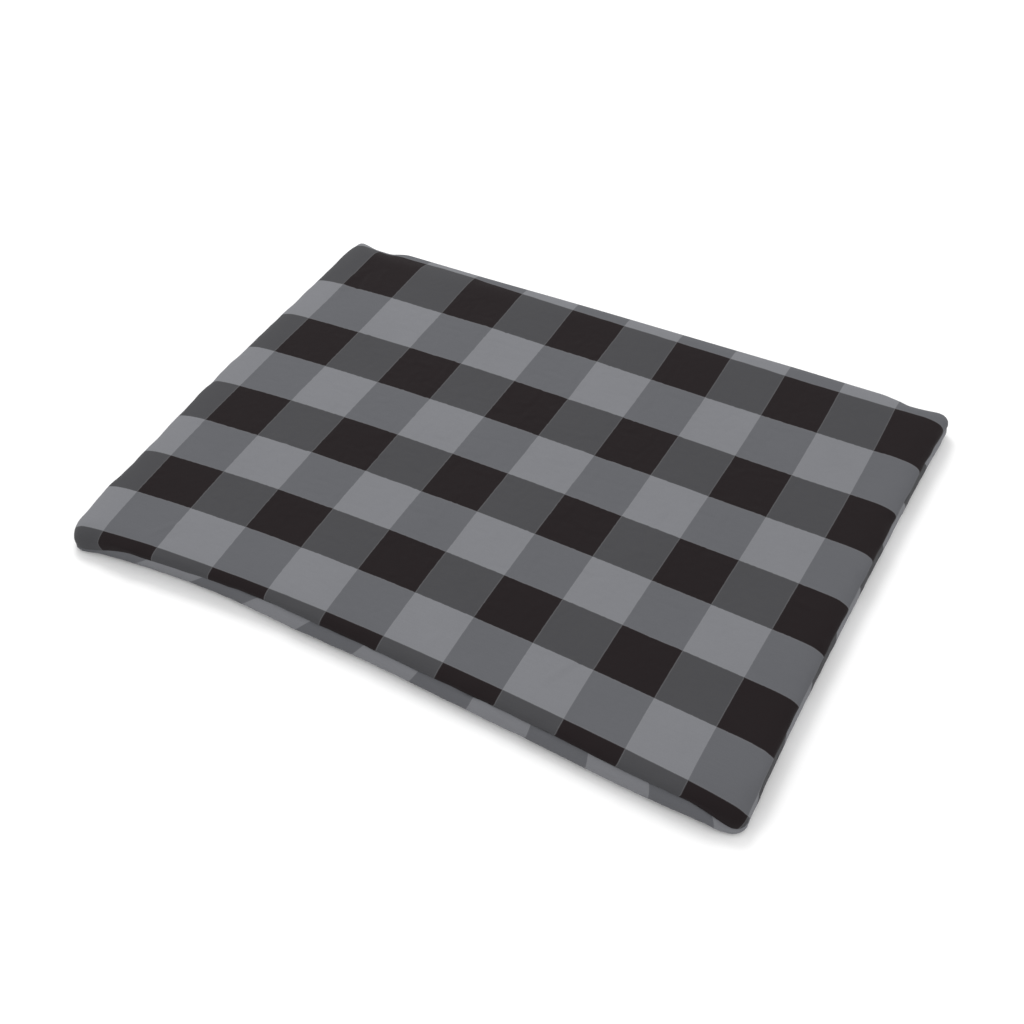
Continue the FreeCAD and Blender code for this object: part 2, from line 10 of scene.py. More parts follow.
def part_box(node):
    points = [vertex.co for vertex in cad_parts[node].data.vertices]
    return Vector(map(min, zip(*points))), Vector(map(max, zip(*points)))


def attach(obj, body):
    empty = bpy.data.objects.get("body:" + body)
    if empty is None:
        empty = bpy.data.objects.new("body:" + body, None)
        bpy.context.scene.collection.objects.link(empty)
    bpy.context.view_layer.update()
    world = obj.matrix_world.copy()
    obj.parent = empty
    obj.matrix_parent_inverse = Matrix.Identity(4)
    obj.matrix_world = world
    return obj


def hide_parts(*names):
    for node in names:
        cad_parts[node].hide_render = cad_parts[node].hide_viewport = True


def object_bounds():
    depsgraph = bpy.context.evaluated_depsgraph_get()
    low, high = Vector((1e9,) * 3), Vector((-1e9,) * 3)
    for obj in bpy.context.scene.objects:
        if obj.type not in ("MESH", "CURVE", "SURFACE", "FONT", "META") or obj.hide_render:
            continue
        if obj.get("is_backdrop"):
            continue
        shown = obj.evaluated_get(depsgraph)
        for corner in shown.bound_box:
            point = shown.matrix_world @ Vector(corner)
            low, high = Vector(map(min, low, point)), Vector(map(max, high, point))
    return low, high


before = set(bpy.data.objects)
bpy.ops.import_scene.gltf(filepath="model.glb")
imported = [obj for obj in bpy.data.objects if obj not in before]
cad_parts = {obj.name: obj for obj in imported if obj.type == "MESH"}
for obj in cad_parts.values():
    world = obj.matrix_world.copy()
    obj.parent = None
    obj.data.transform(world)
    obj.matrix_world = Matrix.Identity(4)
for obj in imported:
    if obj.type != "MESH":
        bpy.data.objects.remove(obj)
CAD_BOX = [list(v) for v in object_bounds()]
RNG = np.random.default_rng(7)

R_CORNER = dict(fl=38.0, fr=18.0, rr=17.0, rl=9.0)
CORNER_DROP = (23.0, 17.0, 6.0, 6.0)                # how much lower the seam runs at each corner, front left first
CORNER_SPAN = (20, 14, 14, 14)
PULL = dict(front=[12.2, 17.7, 13.1, 7.1, 3.0, -2.6], right=[1.7, 0.4, 0.0, 0.7], rear=[3.7, 0.0, 0.0, 0.0, 0.0, 0.0, -0.5, 6.3], left=[-5.5, -9.1, -8.2, -0.1])
RIM_DROP = [1.6, 0.0, 0.0, 0.0, 0.0, 1.0, 3.2, 4.7]
BULGE = dict(front=[-2.9, 7.6, 6.4, 8.6, 8.1], right=[0.5, 0.4, 0.8], left=[1.5, 1.5, 1.5])
PROFILE_W, PROFILE_P, REAR_P = 48.0, 2.4, 2.4
PRINT_I = [4.9846, -0.0646, -0.0237, 0.0803, 5.6264, -0.0452, 0.0653, 0.195, 0.0153, 0.1148]
PRINT_J = [3.8114, -4.4595, 0.2924, 0.0145, -0.0885, 0.006, -0.0392, -0.1638, 0.166, 0.0932]
LOW_J0, LOW_Y0, LOW_SKEW, LOW_SHIFT = 9.9, 420.0, 0.75, 0.27
C_LINE = (0.215, 0.217, 0.225)
C_BLACK, C_DARK, C_MID, C_LIGHT = (0.0125, 0.0093, 0.0100), (0.0525, 0.0525, 0.0560), (0.0978, 0.0998, 0.1085), (0.1635, 0.1662, 0.1780)
WORLD = 1.15
LAMPS = [("key", (-1.6, 1.8, 3.6), 1.6, 60.0)]
CAM_LENS = 50.686
CAM_PLACE = (0.7748531, -1.2321828, 1.4403714)
CAM_AXES = [(0.8717574313621501, 0.4868071553231868, -0.05529714631888463), (0.3151457629745435, -0.6435806418998873, -0.6974862761738909), (-0.37512948290431436, 0.5906121831607227, -0.7144614196428425)]
# ------------------------------------------------------------------ plan of the mat, in millimetres
XC, YF, YB, YR = 508.0, -381.0, 377.0, 374.0        # corners, and the rear side along the zip
FRONT_SAG, SIDE_SAG, REAR_HALF = 14.0, 6.0, 410.0
THICK = 46.0
NX, NY = 196, 146                                   # columns of cloth along the long and the short sides
NP = 2 * (NX + NY)
D0 = 48.0                                           # the edge strip's width, inside it the panel is a plain grid
WINDOW = 75                                         # columns each side of the middle where the zip is let in


def arc_in(x, half, sag):
    """How far a side that is drawn in by sag at its middle stands off its corners' line."""
    r = (half * half + sag * sag) / (2 * sag)
    return sag - (r - np.sqrt(r * r - x * x))


def front_y(x, sag=FRONT_SAG):
    return YF + arc_in(x, XC, sag)


def side_x(y, sag=SIDE_SAG):
    return XC - arc_in(y - (YF + YB) / 2, (YB - YF) / 2, sag)


def rear_y(x):
    over = np.maximum(np.abs(x) - REAR_HALF, 0)
    fx, fy = XC - REAR_HALF, YB - YR
    r = (fx * fx + fy * fy) / (2 * fy)
    return YR + r - np.sqrt(r * r - over * over)


def corner(p0, t0, p3, t3, n=24):
    """Rounded corner from p0 to p3 with the sides' directions t0 and t3 at its ends."""
    p0, t0, p3, t3 = (np.array(v, float) for v in (p0, t0, p3, t3))
    t0, t3 = t0 / np.linalg.norm(t0), t3 / np.linalg.norm(t3)
    k = 0.5523 * np.linalg.norm(p3 - p0) / math.sqrt(2)
    u = np.linspace(0, 1, n)[:, None]
    return (1 - u) ** 3 * p0 + 3 * (1 - u) ** 2 * u * (p0 + t0 * k) + 3 * (1 - u) * u * u * (p3 - t3 * k) + u ** 3 * p3


def loop(round_fl=22.0, round_fr=22.0, round_rr=22.0, round_rl=22.0, grow=0.0):
    """NP points round the outline from the front left corner, anticlockwise, evenly spread between the corners' middles."""
    def side(a, b, f, n=160):
        s = np.linspace(a, b, n)
        return np.stack(f(s), 1)

    front = side(-XC + round_fl, XC - round_fr, lambda s: (s, front_y(s)))
    right = side(YF + round_fr, YB - round_rr, lambda s: (side_x(s), s))
    rear = side(XC - round_rr, -XC + round_rl, lambda s: (s, rear_y(s)))
    left = side(YB - round_rl, YF + round_fl, lambda s: (-side_x(s), s))
    sides, out, marks = [front, right, rear, left], [], []
    for i in range(4):
        a, b = sides[i], sides[(i + 1) % 4]
        c = corner(a[-1], a[-1] - a[-2], b[0], b[1] - b[0])
        out += [a[:-1], c[:-1]]
        marks.append(sum(len(o) for o in out) - (len(c) - 1) + (len(c) - 1) / 2)
    pts = np.concatenate(out)
    pts = np.concatenate([pts, pts, pts])
    n = len(pts) // 3
    along = np.concatenate([[0], np.cumsum(np.linalg.norm(np.diff(pts, axis=0), axis=1))])
    at = [np.interp(m + n, np.arange(len(along)), along) for m in [marks[3] - n, marks[0], marks[1], marks[2], marks[3]]]
    res = []
    for i, count in enumerate((NX, NY, NX, NY)):
        s = np.linspace(at[i], at[i + 1], count + 1)[:-1]
        res.append(np.stack([np.interp(s, along, pts[:, 0]), np.interp(s, along, pts[:, 1])], 1))
    res = np.concatenate(res)
    step = np.roll(res, -1, 0) - np.roll(res, 1, 0)
    normal = np.stack([step[:, 1], -step[:, 0]], 1)
    normal /= np.linalg.norm(normal, axis=1)[:, None]
    return res + normal * grow, normal


def inner_grid(inset):
    """Plan points of the panel inside its edge strip, [i along x, j along y]."""
    a = np.linspace(-1, 1, NX + 1)[:, None] + np.zeros((1, NY + 1))
    b = np.linspace(-1, 1, NY + 1)[None, :] + np.zeros((NX + 1, 1))
    x = a * (side_x((YF + YB) / 2 + b * (YB - YF) / 2) - inset)
    y0, y1 = front_y(a * XC) + inset, rear_y(a * XC * 0.999) - inset
    return np.stack([x, y0 + (y1 - y0) * (b + 1) / 2], 2)


def grid_rim():
    """Grid indices (i, j) of its boundary, in the loop's order."""
    order = [(i, 0) for i in range(NX)] + [(NX, j) for j in range(NY)]
    order += [(i, NY) for i in range(NX, 0, -1)] + [(0, j) for j in range(NY, 0, -1)]
    return order


def columns():
    """For each column: whether it lies on the front side, and whether it lies on the rear side."""
    k = np.arange(NP)
    on_front = (k < NX)
    on_rear = (k >= NX + NY) & (k <= 2 * NX + NY)
    return on_front, on_rear


def smooth(x, a, b):
    t = np.clip((x - a) / (b - a), 0, 1)
    return t * t * (3 - 2 * t)
# ------------------------------------------------------------------ the cover's shape, before cloth simulation
SEAM_FRONT, SEAM_Z = 30.0, 28.0                     # the seam's height at the front middle, and at the rear's zip
TOP_RINGS = np.array([1.5, 0.7, 0.2, 0.0, 0.35, 1.1, 2.3, 4.0, 6.4, 9.4, 13.2, 18.0, 24.0, 31.0, 39.0, 48.0])
LOW_RINGS = 16


def mid_weight(n_from, n_to, k):
    """1 in the middle of a side and 0 at its corners, along columns n_from to n_to."""
    s = (k - n_from) / (n_to - n_from)
    return np.where((s >= 0) & (s <= 1), np.sin(np.pi * np.clip(s, 0, 1)), 0.0)


def column_sizes():
    k = np.arange(NP)
    front, right = mid_weight(0, NX, k), mid_weight(NX, NX + NY, k)
    rear, left = mid_weight(NX + NY, 2 * NX + NY, k), mid_weight(2 * NX + NY, NP, k)
    mid_rear = np.abs(k - (NX + NY + NX / 2))
    zip_w = 1 - smooth(mid_rear, WINDOW + 3, WINDOW + 14)     # 1 where the section has to fit the zip's tapes
    is_window = mid_rear <= WINDOW
    near_corner = [np.minimum(np.abs(k - c), NP - np.abs(k - c)) for c in (0, NX, NX + NY, 2 * NX + NY)]
    return dict(k=k, front=front, right=right, rear=rear, left=left, zip_w=zip_w, window=is_window, corner=near_corner)


def crown(x, y):
    """Height of the top panel inside its edge strip: nearly flat, lowest towards the middle of the front and the sides."""
    a, b = x / XC, (y + 2) / 379
    return THICK - 0.5 - 0.9 * a ** 4 * 0.6 - 0.7 * np.clip(-b, 0, 1) ** 3


def along(n_from, n_to, values, k):
    """Smooth curve through values, spread from one corner of a side to the other, and 0 at both corners."""
    at = np.linspace(0, 1, len(values) + 2)
    v = np.concatenate([[values[0] * 0.5], values, [values[-1] * 0.5]])
    s = (k - n_from) / (n_to - n_from)
    inside = (s >= 0) & (s <= 1)
    s = np.clip(s, 0, 1)
    i = np.clip(np.searchsorted(at, s) - 1, 0, len(at) - 2)
    u = (s - at[i]) / (at[i + 1] - at[i])
    m = np.gradient(v, at)
    h = at[i + 1] - at[i]
    f = (2 * u ** 3 - 3 * u ** 2 + 1) * v[i] + (u ** 3 - 2 * u ** 2 + u) * h * m[i] + (3 * u ** 2 - 2 * u ** 3) * v[i + 1] + (u ** 3 - u ** 2) * h * m[i + 1]
    return np.where(inside, f * smooth(s, 0, 0.035) * smooth(1 - s, 0, 0.035), 0.0)


def build_base():
    """Positions of both panels: rings [ring, column, xyz] from the seam inwards, and their grids [i, j, xyz]."""
    c = column_sizes()
    k = c["k"]
    plan, normal = loop(R_CORNER["fl"], R_CORNER["fr"], R_CORNER["rr"], R_CORNER["rl"])
    grid = inner_grid(D0)
    rim = grid_rim()
    q = np.array([grid[i, j] for i, j in rim])
    zs = SEAM_Z + (SEAM_FRONT - SEAM_Z) * np.clip(1.6 * c["front"] + 0.6 * (c["left"] + c["right"]), 0, 1)
    for near in c["corner"][:2]:
        zs = np.maximum(zs, SEAM_Z + (SEAM_FRONT - SEAM_Z) * (1 - smooth(near, 10, 40)))
    for near, drop, span in zip(c["corner"], CORNER_DROP, CORNER_SPAN):
        zs = zs - drop * (1 - smooth(near, 0, span))
    pull = along(0, NX, PULL["front"], k) + along(NX, NX + NY, PULL["right"], k)
    pull = pull + along(NX + NY, 2 * NX + NY, PULL["rear"], k) * (1 - c["zip_w"]) + along(2 * NX + NY, NP, PULL["left"], k)
    zc = crown(q[:, 0], q[:, 1])
    out = (plan - q) / D0                              # plan step for one millimetre of inset

    # top panel
    w = PROFILE_W
    p = PROFILE_P + (REAR_P - PROFILE_P) * np.clip(2.5 * c["rear"], 0, 1)
    wz = c["zip_w"]
    start = (1 - wz) * (zs + 2.3) + wz * 35.4
    d_std = TOP_RINGS[:, None] + np.zeros(NP)
    t = np.clip(np.maximum(d_std, 0) / w, 0, 1)
    rise = (1 - (1 - t) ** p) ** (1 / p)
    low_rim = along(NX + NY, 2 * NX + NY, RIM_DROP, k)
    z_top = start + (zc - start) * rise - low_rim * np.clip(1 - t, 0, 1) ** 1.5 * np.clip(rise * 3, 0, 1)
    for m in range(4, 9):
        z_top[m] = np.maximum(z_top[m], z_top[m - 1] + 0.3)
    edge = ~c["window"]
    for m, (lift, in_zip, over_zip) in enumerate(((0.0, 33.2, 28.0), (0.75, 33.9, 30.5), (1.5, 34.6, 33.0))):
        z_top[m] = (zs + lift) * (1 - wz) + wz * np.where(edge, over_zip, in_zip)
    d_top = d_std + pull * (1 - d_std / D0)
    for m in range(3):
        d_top[m] = (TOP_RINGS[m] + pull) * (1 - wz)
    # bottom panel, as two curves: down the side, and under to the floor
    b = along(0, NX, BULGE["front"], k) + along(NX, NX + NY, BULGE["right"], k) + along(2 * NX + NY, NP, BULGE["left"], k) + 0.6 * c["rear"]
    zb = np.minimum(12.5, zs * 0.5)
    u = np.array([0.0, 0.05, 0.12, 0.22, 0.36, 0.52, 0.68, 0.84, 1.0])[:, None]
    s_d, s_z = 1.5 + pull, zs
    p0, p3 = (s_d, s_z), (pull - b, zb)
    p1 = (s_d - (1.2 + 0.55 * b), s_z - 2.6)
    p2 = (p3[0], zb + (zs - zb) * 0.5)
    bez = lambda i, u: (1 - u) ** 3 * p0[i] + 3 * (1 - u) ** 2 * u * p1[i] + 3 * (1 - u) * u * u * p2[i] + u ** 3 * p3[i]
    d1, z1 = bez(0, u), bez(1, u)
    ang = np.radians([18, 36, 54, 72, 90])[:, None]
    reach = 13.0 + b
    d2, z2 = p3[0] + reach * (1 - np.cos(ang)), zb * (1 - np.sin(ang)) + np.zeros(NP)
    rest = d2[-1] + (D0 - d2[-1]) * np.array([0.3, 0.65, 1.0])[:, None]
    d_std, z_std = np.concatenate([d1, d2, rest]), np.concatenate([z1, z2, 0 * rest])
    a = np.radians([12, 24, 38, 52, 66, 79, 90])
    d_zip = np.concatenate([[0] * 7, 17 - 17 * np.cos(a), [23, 33, D0]])
    z_zip = np.concatenate([[22.8, 22.0, 21.0, 20.0, 19.0, 18.0, 17.0], 17 - 17 * np.sin(a), [0, 0, 0]])
    d_zip, z_zip = d_zip[:, None] + np.zeros(NP), z_zip[:, None] + np.zeros(NP)
    for m, z in enumerate((28.0, 26.4, 24.6, 22.8, 20.9, 18.9)):
        z_zip[m, edge] = z
    d_low, z_low = d_std * (1 - wz) + d_zip * wz, z_std * (1 - wz) + z_zip * wz

    def place(d, z):
        xy = q[None] + out[None] * (D0 - d)[:, :, None]
        return np.concatenate([xy, z[:, :, None]], 2)

    top, low = place(d_top, z_top), place(d_low, z_low)
    gz = crown(grid[:, :, 0], grid[:, :, 1])[:, :, None]
    top_grid = np.concatenate([grid, gz], 2)
    low_grid = np.concatenate([grid, 0 * gz], 2)
    return dict(cols=c, plan=plan, normal=normal, q=q, out=out, rim=rim, top=top, low=low, top_grid=top_grid, low_grid=low_grid, zs=zs)
# ------------------------------------------------------------------ meshes
def print_place(x, y):
    """Which printed square, counted from the rear left, lies at each point of the laid out panel. The print runs a little uneven."""
    a, b = x / 508.0, y / 381.0
    terms = [a ** i * b ** j for i in range(4) for j in range(4 - i)]
    return sum(c * t for c, t in zip(PRINT_I, terms)), sum(c * t for c, t in zip(PRINT_J, terms))


def lay_out(rings, q, out):
    """Where each ring's points would lie if the edge strip was flattened, and the strip's length outwards from the grid."""
    seg = np.linalg.norm(np.diff(rings, axis=0), axis=2)
    length = np.concatenate([np.cumsum(seg[::-1], axis=0)[::-1], np.zeros((1, seg.shape[1]))])
    unit = out / np.linalg.norm(out, axis=1)[:, None]
    return q[None] + unit[None] * length[:, :, None], length


def panel_arrays(rings, grid, rim, closed=None):
    """Vertices and quads of a panel: rings from the seam to the grid's edge, then the grid. closed: not used."""
    m, n = rings.shape[0] - 1, rings.shape[1]
    gi, gj = grid.shape[:2]
    verts = np.concatenate([rings[:m].reshape(-1, 3), grid.reshape(-1, 3)])
    base = m * n
    rim_index = np.array([base + i * gj + j for i, j in rim])
    ring_index = [np.arange(n) + r * n for r in range(m)] + [rim_index]
    faces = []
    for r in range(m):
        a, b = ring_index[r], ring_index[r + 1]
        faces.append(np.stack([a, np.roll(a, -1), np.roll(b, -1), b], 1))
    ii, jj = np.meshgrid(np.arange(gi - 1), np.arange(gj - 1), indexing="ij")
    v = base + ii * gj + jj
    faces.append(np.stack([v, v + gj, v + gj + 1, v + 1], 2).reshape(-1, 4))
    return verts, np.concatenate(faces)


def new_mesh(name, verts, faces, uv=None, flip=False, scale=0.001):
    mesh = bpy.data.meshes.new(name)
    faces = np.asarray(faces)
    if flip:
        faces = faces[:, ::-1]
    mesh.from_pydata((np.asarray(verts) * scale).tolist(), [], faces.tolist())
    mesh.polygons.foreach_set("use_smooth", np.ones(len(mesh.polygons), bool))
    if uv is not None:
        for key, values in uv.items():
            layer = mesh.uv_layers.new(name=key)
            index = np.zeros(len(mesh.loops), np.int32)
            mesh.loops.foreach_get("vertex_index", index)
            layer.data.foreach_set("uv", values[index].astype(np.float32).ravel())
    mesh.update()
    obj = bpy.data.objects.new(name, mesh)
    bpy.context.scene.collection.objects.link(obj)
    return obj


def apply_modifiers(obj):
    dg = bpy.context.evaluated_depsgraph_get()
    mesh = bpy.data.meshes.new_from_object(obj.evaluated_get(dg), preserve_all_data_layers=True, depsgraph=dg)
    obj.modifiers.clear()
    obj.data = mesh
    return obj


def thicken(obj, ply):
    """Gives an outer surface the cloth's thickness, inwards."""
    s = obj.modifiers.new("ply", "SOLIDIFY")
    s.thickness, s.offset, s.use_even_offset, s.use_rim = ply / 1000, -1, False, True
    return apply_modifiers(obj)


def normals_of(verts, faces):
    a, b, c, d = (verts[faces[:, i]] for i in range(4))
    n = np.cross(c - a, d - b)
    out = np.zeros_like(verts)
    for i in range(4):
        np.add.at(out, faces[:, i], n)
    return out / np.maximum(np.linalg.norm(out, axis=1), 1e-9)[:, None]


def value_noise(x, seed, period=None):
    """Smooth noise along a line, one bump per unit, repeating after period."""
    r = np.random.default_rng(seed)
    size = int(period) if period else 4096
    table = r.uniform(-1, 1, size)
    i = np.floor(x).astype(int)
    u = x - i
    u = u * u * (3 - 2 * u)
    return table[i % size] * (1 - u) + table[(i + 1) % size] * u


def noise2(x, y, seed):
    """Smooth noise over a plane, one bump per unit."""
    r = np.random.default_rng(seed)
    table = r.uniform(-1, 1, (256, 256))
    i, j = np.floor(x).astype(int), np.floor(y).astype(int)
    u, v = x - i, y - j
    u, v = u * u * (3 - 2 * u), v * v * (3 - 2 * v)
    t = lambda a, b: table[a % 256, b % 256]
    return (t(i, j) * (1 - u) + t(i + 1, j) * u) * (1 - v) + (t(i, j + 1) * (1 - u) + t(i + 1, j + 1) * u) * v


B = build_base()
RIM = B["rim"]
TOP_V, TOP_F = panel_arrays(B["top"], B["top_grid"], RIM)
LOW_V, LOW_F = panel_arrays(B["low"], B["low_grid"], RIM)
GRID = B["top_grid"][:, :, :2].reshape(-1, 2)


def cover_uv(which):
    rings = B["top"] if which == "top" else B["low"]
    laid, length = lay_out(rings, B["q"], B["out"])
    points = np.concatenate([laid[:-1].reshape(-1, 2), GRID])
    i, j = print_place(points[:, 0], points[:, 1])
    if which == "top":
        j = j + 0.10 * smooth(points[:, 1], 320, 372) * smooth(-points[:, 0], 100, 350)
        strip = rings[:-1].reshape(-1, 3)
        front = np.tile(((B["cols"]["k"] <= NX) * np.clip(8 * B["cols"]["front"], 0, 1)), length.shape[0] - 1)
        i[: len(strip)] += front * np.clip((45 - strip[:, 2]) / 15, 0, 1) * (0.05 - 0.04 * strip[:, 0] / 508)
    if which == "low":
        from_seam = np.maximum(length[0][None] - length, 0)[:-1].ravel()
        j = LOW_J0 - (points[:, 1] + LOW_Y0) / 88.9
        front = np.tile(((B["cols"]["k"] <= NX) * np.clip(8 * B["cols"]["front"], 0, 1)), length.shape[0] - 1)
        whole = LOW_SHIFT + LOW_SKEW * 45 / 88.9
        i = i + whole
        i[: len(from_seam)] += front * (LOW_SHIFT + LOW_SKEW * np.minimum(from_seam, 45) / 88.9 - whole)
    return {"print": np.stack([i, j], 1), "cloth": points / 1000}


def edge_noise(which, verts):
    """Small puckers that the seam's stitches draw in the cloth beside them."""
    m, n = (B["top"].shape[0] - 1), NP
    k = np.arange(NP)
    seam_step = 5.13
    s = k * seam_step
    total = NP * seam_step
    p = np.zeros(len(verts))
    seam = B["top"][0]
    bumps = np.zeros(NP)
    for wave, amp, seed in ((17.0, 0.55, 3), (29.0, 0.55, 5), (61.0, 0.5, 8)):
        period = round(total / wave)
        bumps += amp * value_noise(s / total * period, seed + (20 if which == "low" else 0), period)
    strength = 0.55 + 0.45 * value_noise(s / total * 22, 31, 22)
    for r in range(m):
        d = np.linalg.norm(B["top" if which == "top" else "low"][r] - seam, axis=1)
        fade = np.exp(-((d / 15.0) ** 1.4)) * np.clip(d / 1.6, 0.0, 1)
        p[r * NP:(r + 1) * NP] = bumps * strength * fade * (1 - B["cols"]["zip_w"] * 0.9)
    return p


# soft creases in the top panel: middle x and y, direction in degrees, length, width and height in millimetres
CREASES = (
    (-452, 246, 97, 78, 6.0, 0.75), (-432, 262, 104, 66, 5.5, -0.6), (-470, 214, 88, 52, 6.0, 0.55), (-405, 285, 112, 50, 6.5, 0.45),
    (223, -296, 68, 42, 5.5, 0.6), (238, -286, 78, 36, 5.0, -0.5), (-372, -318, 58, 50, 6.0, 0.6), (-352, -330, 66, 40, 5.5, -0.45),
    (60, -325, 85, 34, 5.5, 0.45), (398, -310, 118, 44, 6.0, 0.5), (-470, -120, 20, 60, 7.0, 0.4), (452, 250, 140, 50, 6.0, 0.45),
    (-480, 60, 12, 46, 6.0, 0.4), (-150, -330, 96, 36, 5.5, 0.4), (455, -60, 170, 46, 6.5, 0.35),
)


def creases(x, y):
    h = np.zeros_like(x)
    for cx, cy, turn, length, width, height in CREASES:
        a = math.radians(turn)
        u = (x - cx) * math.cos(a) + (y - cy) * math.sin(a)
        v = -(x - cx) * math.sin(a) + (y - cy) * math.cos(a) + 0.004 * u * u
        h += 1.7 * height * np.exp(-(2 * u / length) ** 4 - (v / width) ** 2)
    return h


def shaped(which):
    verts, faces = (TOP_V, TOP_F) if which == "top" else (LOW_V, LOW_F)
    faces = faces if which == "top" else faces[:, ::-1]
    verts = verts.copy()
    n = normals_of(verts, faces)
    verts += n * edge_noise(which, verts)[:, None]
    x, y = verts[:, 0], verts[:, 1]
    if which == "top":
        soft = 0.5 * noise2(x / 95 + 9, y / 80 + 4, 2) + 0.22 * noise2(x / 38, y / 33, 6)
        soft = soft + creases(x, y)
        verts[:, 2] += np.where(verts[:, 2] > 40, soft, 0) * np.clip((verts[:, 2] - 40) / 4, 0, 1)
    return verts, faces


def simulate(top_v, low_v):
    """Fills the cover with Blender's cloth: both panels are joined along the seam, the cloth beside the seam is a little longer than the seam,
    and pressure from the filling pushes it out. Returns both panels' new points, with each point's movement capped."""
    nt = len(top_v)
    weld = np.arange(len(low_v)) + nt
    free = ~B["cols"]["window"]
    weld[:NP][free] = np.arange(NP)[free]
    verts = np.concatenate([top_v, low_v])
    faces = np.concatenate([TOP_F, weld[LOW_F[:, ::-1]]])
    used = np.unique(faces)
    index = np.full(len(verts), -1)
    index[used] = np.arange(len(used))
    obj = new_mesh("sim", verts[used], index[faces])
    rings_t, rings_l = B["top"].shape[0] - 1, B["low"].shape[0] - 1
    zip_w = B["cols"]["zip_w"]
    pin_t, pin_l = np.full(nt, 0.30), np.full(len(low_v), 1.0)
    slack_t, slack_l = np.full(nt, 0.6), np.full(len(low_v), 1.0)
    for r in range(rings_t):
        hold = 0.02 + 0.28 * (r / rings_t) ** 2
        pin_t[r * NP:(r + 1) * NP] = np.maximum(hold if r else 0.35, np.clip(zip_w * (1.25 - r / 9), 0, 1))
        slack_t[r * NP:(r + 1) * NP] = 1.0 if r == 0 else 0.0 if r < 10 else 0.3
    for r in range(rings_l):
        hold = 0.03 if r < 9 else 0.25 if r < 12 else 1.0
        pin_l[r * NP:(r + 1) * NP] = np.maximum(hold if r else 0.35, zip_w if r < 12 else 0)
        slack_l[r * NP:(r + 1) * NP] = 1.0 if r == 0 else 0.1
    pin, slack = np.concatenate([pin_t, pin_l])[used], np.concatenate([slack_t, slack_l])[used]
    for name, w in (("pin", pin), ("slack", slack)):
        group = obj.vertex_groups.new(name=name)
        for value in np.unique(np.round(w, 3)):
            group.add(np.nonzero(np.round(w, 3) == value)[0].tolist(), float(value), "REPLACE")
    mod = obj.modifiers.new("cloth", "CLOTH")
    s = mod.settings
    s.quality, s.mass, s.air_damping = 4, 0.25, 2.0
    s.tension_stiffness = s.compression_stiffness = 14.0
    s.shear_stiffness, s.bending_stiffness = 6.0, 0.12
    s.tension_damping = s.compression_damping = s.shear_damping = 6.0
    s.vertex_group_mass, s.pin_stiffness = "pin", 0.9
    s.vertex_group_shrink, s.shrink_min, s.shrink_max = "slack", -0.035, 0.0
    s.use_pressure, s.uniform_pressure_force = True, 2.0
    s.effector_weights.gravity = 0.0
    mod.collision_settings.use_collision = False
    mod.collision_settings.use_self_collision = False
    scene = bpy.context.scene
    mod.point_cache.frame_start, mod.point_cache.frame_end = 1, 20
    for frame_no in range(1, 21):
        scene.frame_set(frame_no)
    dg = bpy.context.evaluated_depsgraph_get()
    done = obj.evaluated_get(dg).to_mesh()
    co = np.zeros(len(done.vertices) * 3, np.float32)
    done.vertices.foreach_get("co", co)
    obj.evaluated_get(dg).to_mesh_clear()
    scene.frame_set(1)
    moved = np.zeros_like(verts)
    moved[used] = co.reshape(-1, 3) * 1000 - verts[used]
    moved[nt:][:NP][free] = moved[:NP][free]
    bpy.data.objects.remove(obj)
    # calm the finest ripples along the seam, and keep the rest small, since the cushion is well filled
    for half, rings in ((moved[:nt], rings_t), (moved[nt:], rings_l)):
        strip = half[: rings * NP].reshape(rings, NP, 3)
        for _ in range(4):
            strip[:] = 0.5 * strip + 0.25 * (np.roll(strip, 1, 1) + np.roll(strip, -1, 1))
    size = np.linalg.norm(moved, axis=1)
    print("cloth moved", size.mean().round(2), size.max().round(2))
    moved *= (CAP * np.tanh(size / 2.0) / np.maximum(size, 1e-9))[:, None]
    return top_v + moved[:nt], low_v + moved[nt:]


def calm_zip(which, verts, before):
    """Keeps the cloth beside the zip where the tapes are sewn to it."""
    m = B["top" if which == "top" else "low"].shape[0] - 1
    for r in range(m):
        w = B["cols"]["zip_w"] * (1 if r < 6 else max(0, 1 - (r - 5) / 6))
        rows = slice(r * NP, (r + 1) * NP)
        verts[rows] = verts[rows] * (1 - w[:, None]) + before[rows] * w[:, None]
    return verts


CAP = 1.1
shape_top, shape_low = shaped("top")[0], shaped("low")[0]
shape_low[:NP][~B["cols"]["window"]] = shape_top[:NP][~B["cols"]["window"]]
new_top, new_low = simulate(shape_top, shape_low)
shape_top, shape_low = calm_zip("top", new_top, shape_top), calm_zip("low", new_low, shape_low)
shape_low[:, 2] = np.maximum(shape_low[:, 2], 0.0)


def make_cover(which):
    verts = shape_top if which == "top" else shape_low
    faces = TOP_F if which == "top" else LOW_F[:, ::-1]
    name = "cover_top" if which == "top" else "cover_bottom"
    obj = new_mesh(name, verts, faces, cover_uv(which))
    thicken(obj, 0.8)
    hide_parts("cover_%s_panel" % ("top" if which == "top" else "bottom"))
    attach(obj, "mat")
    return obj


cover_top = make_cover("top")
cover_bottom = make_cover("low")
# ------------------------------------------------------------------ insert, under the cover
def recess():
    """How far in, along each column, the cover reaches at its seam or its rim, whichever is deeper."""
    deep = []
    for rings, first in ((B["top"], 3), (B["low"], 6)):
        d = D0 - np.sum((rings[:, :, :2] - B["q"][None]) * B["out"][None], axis=2) / np.sum(B["out"] ** 2, axis=1)[None]
        deep += [d[0], d[first:].min(0)]
    return np.max(deep, axis=0)


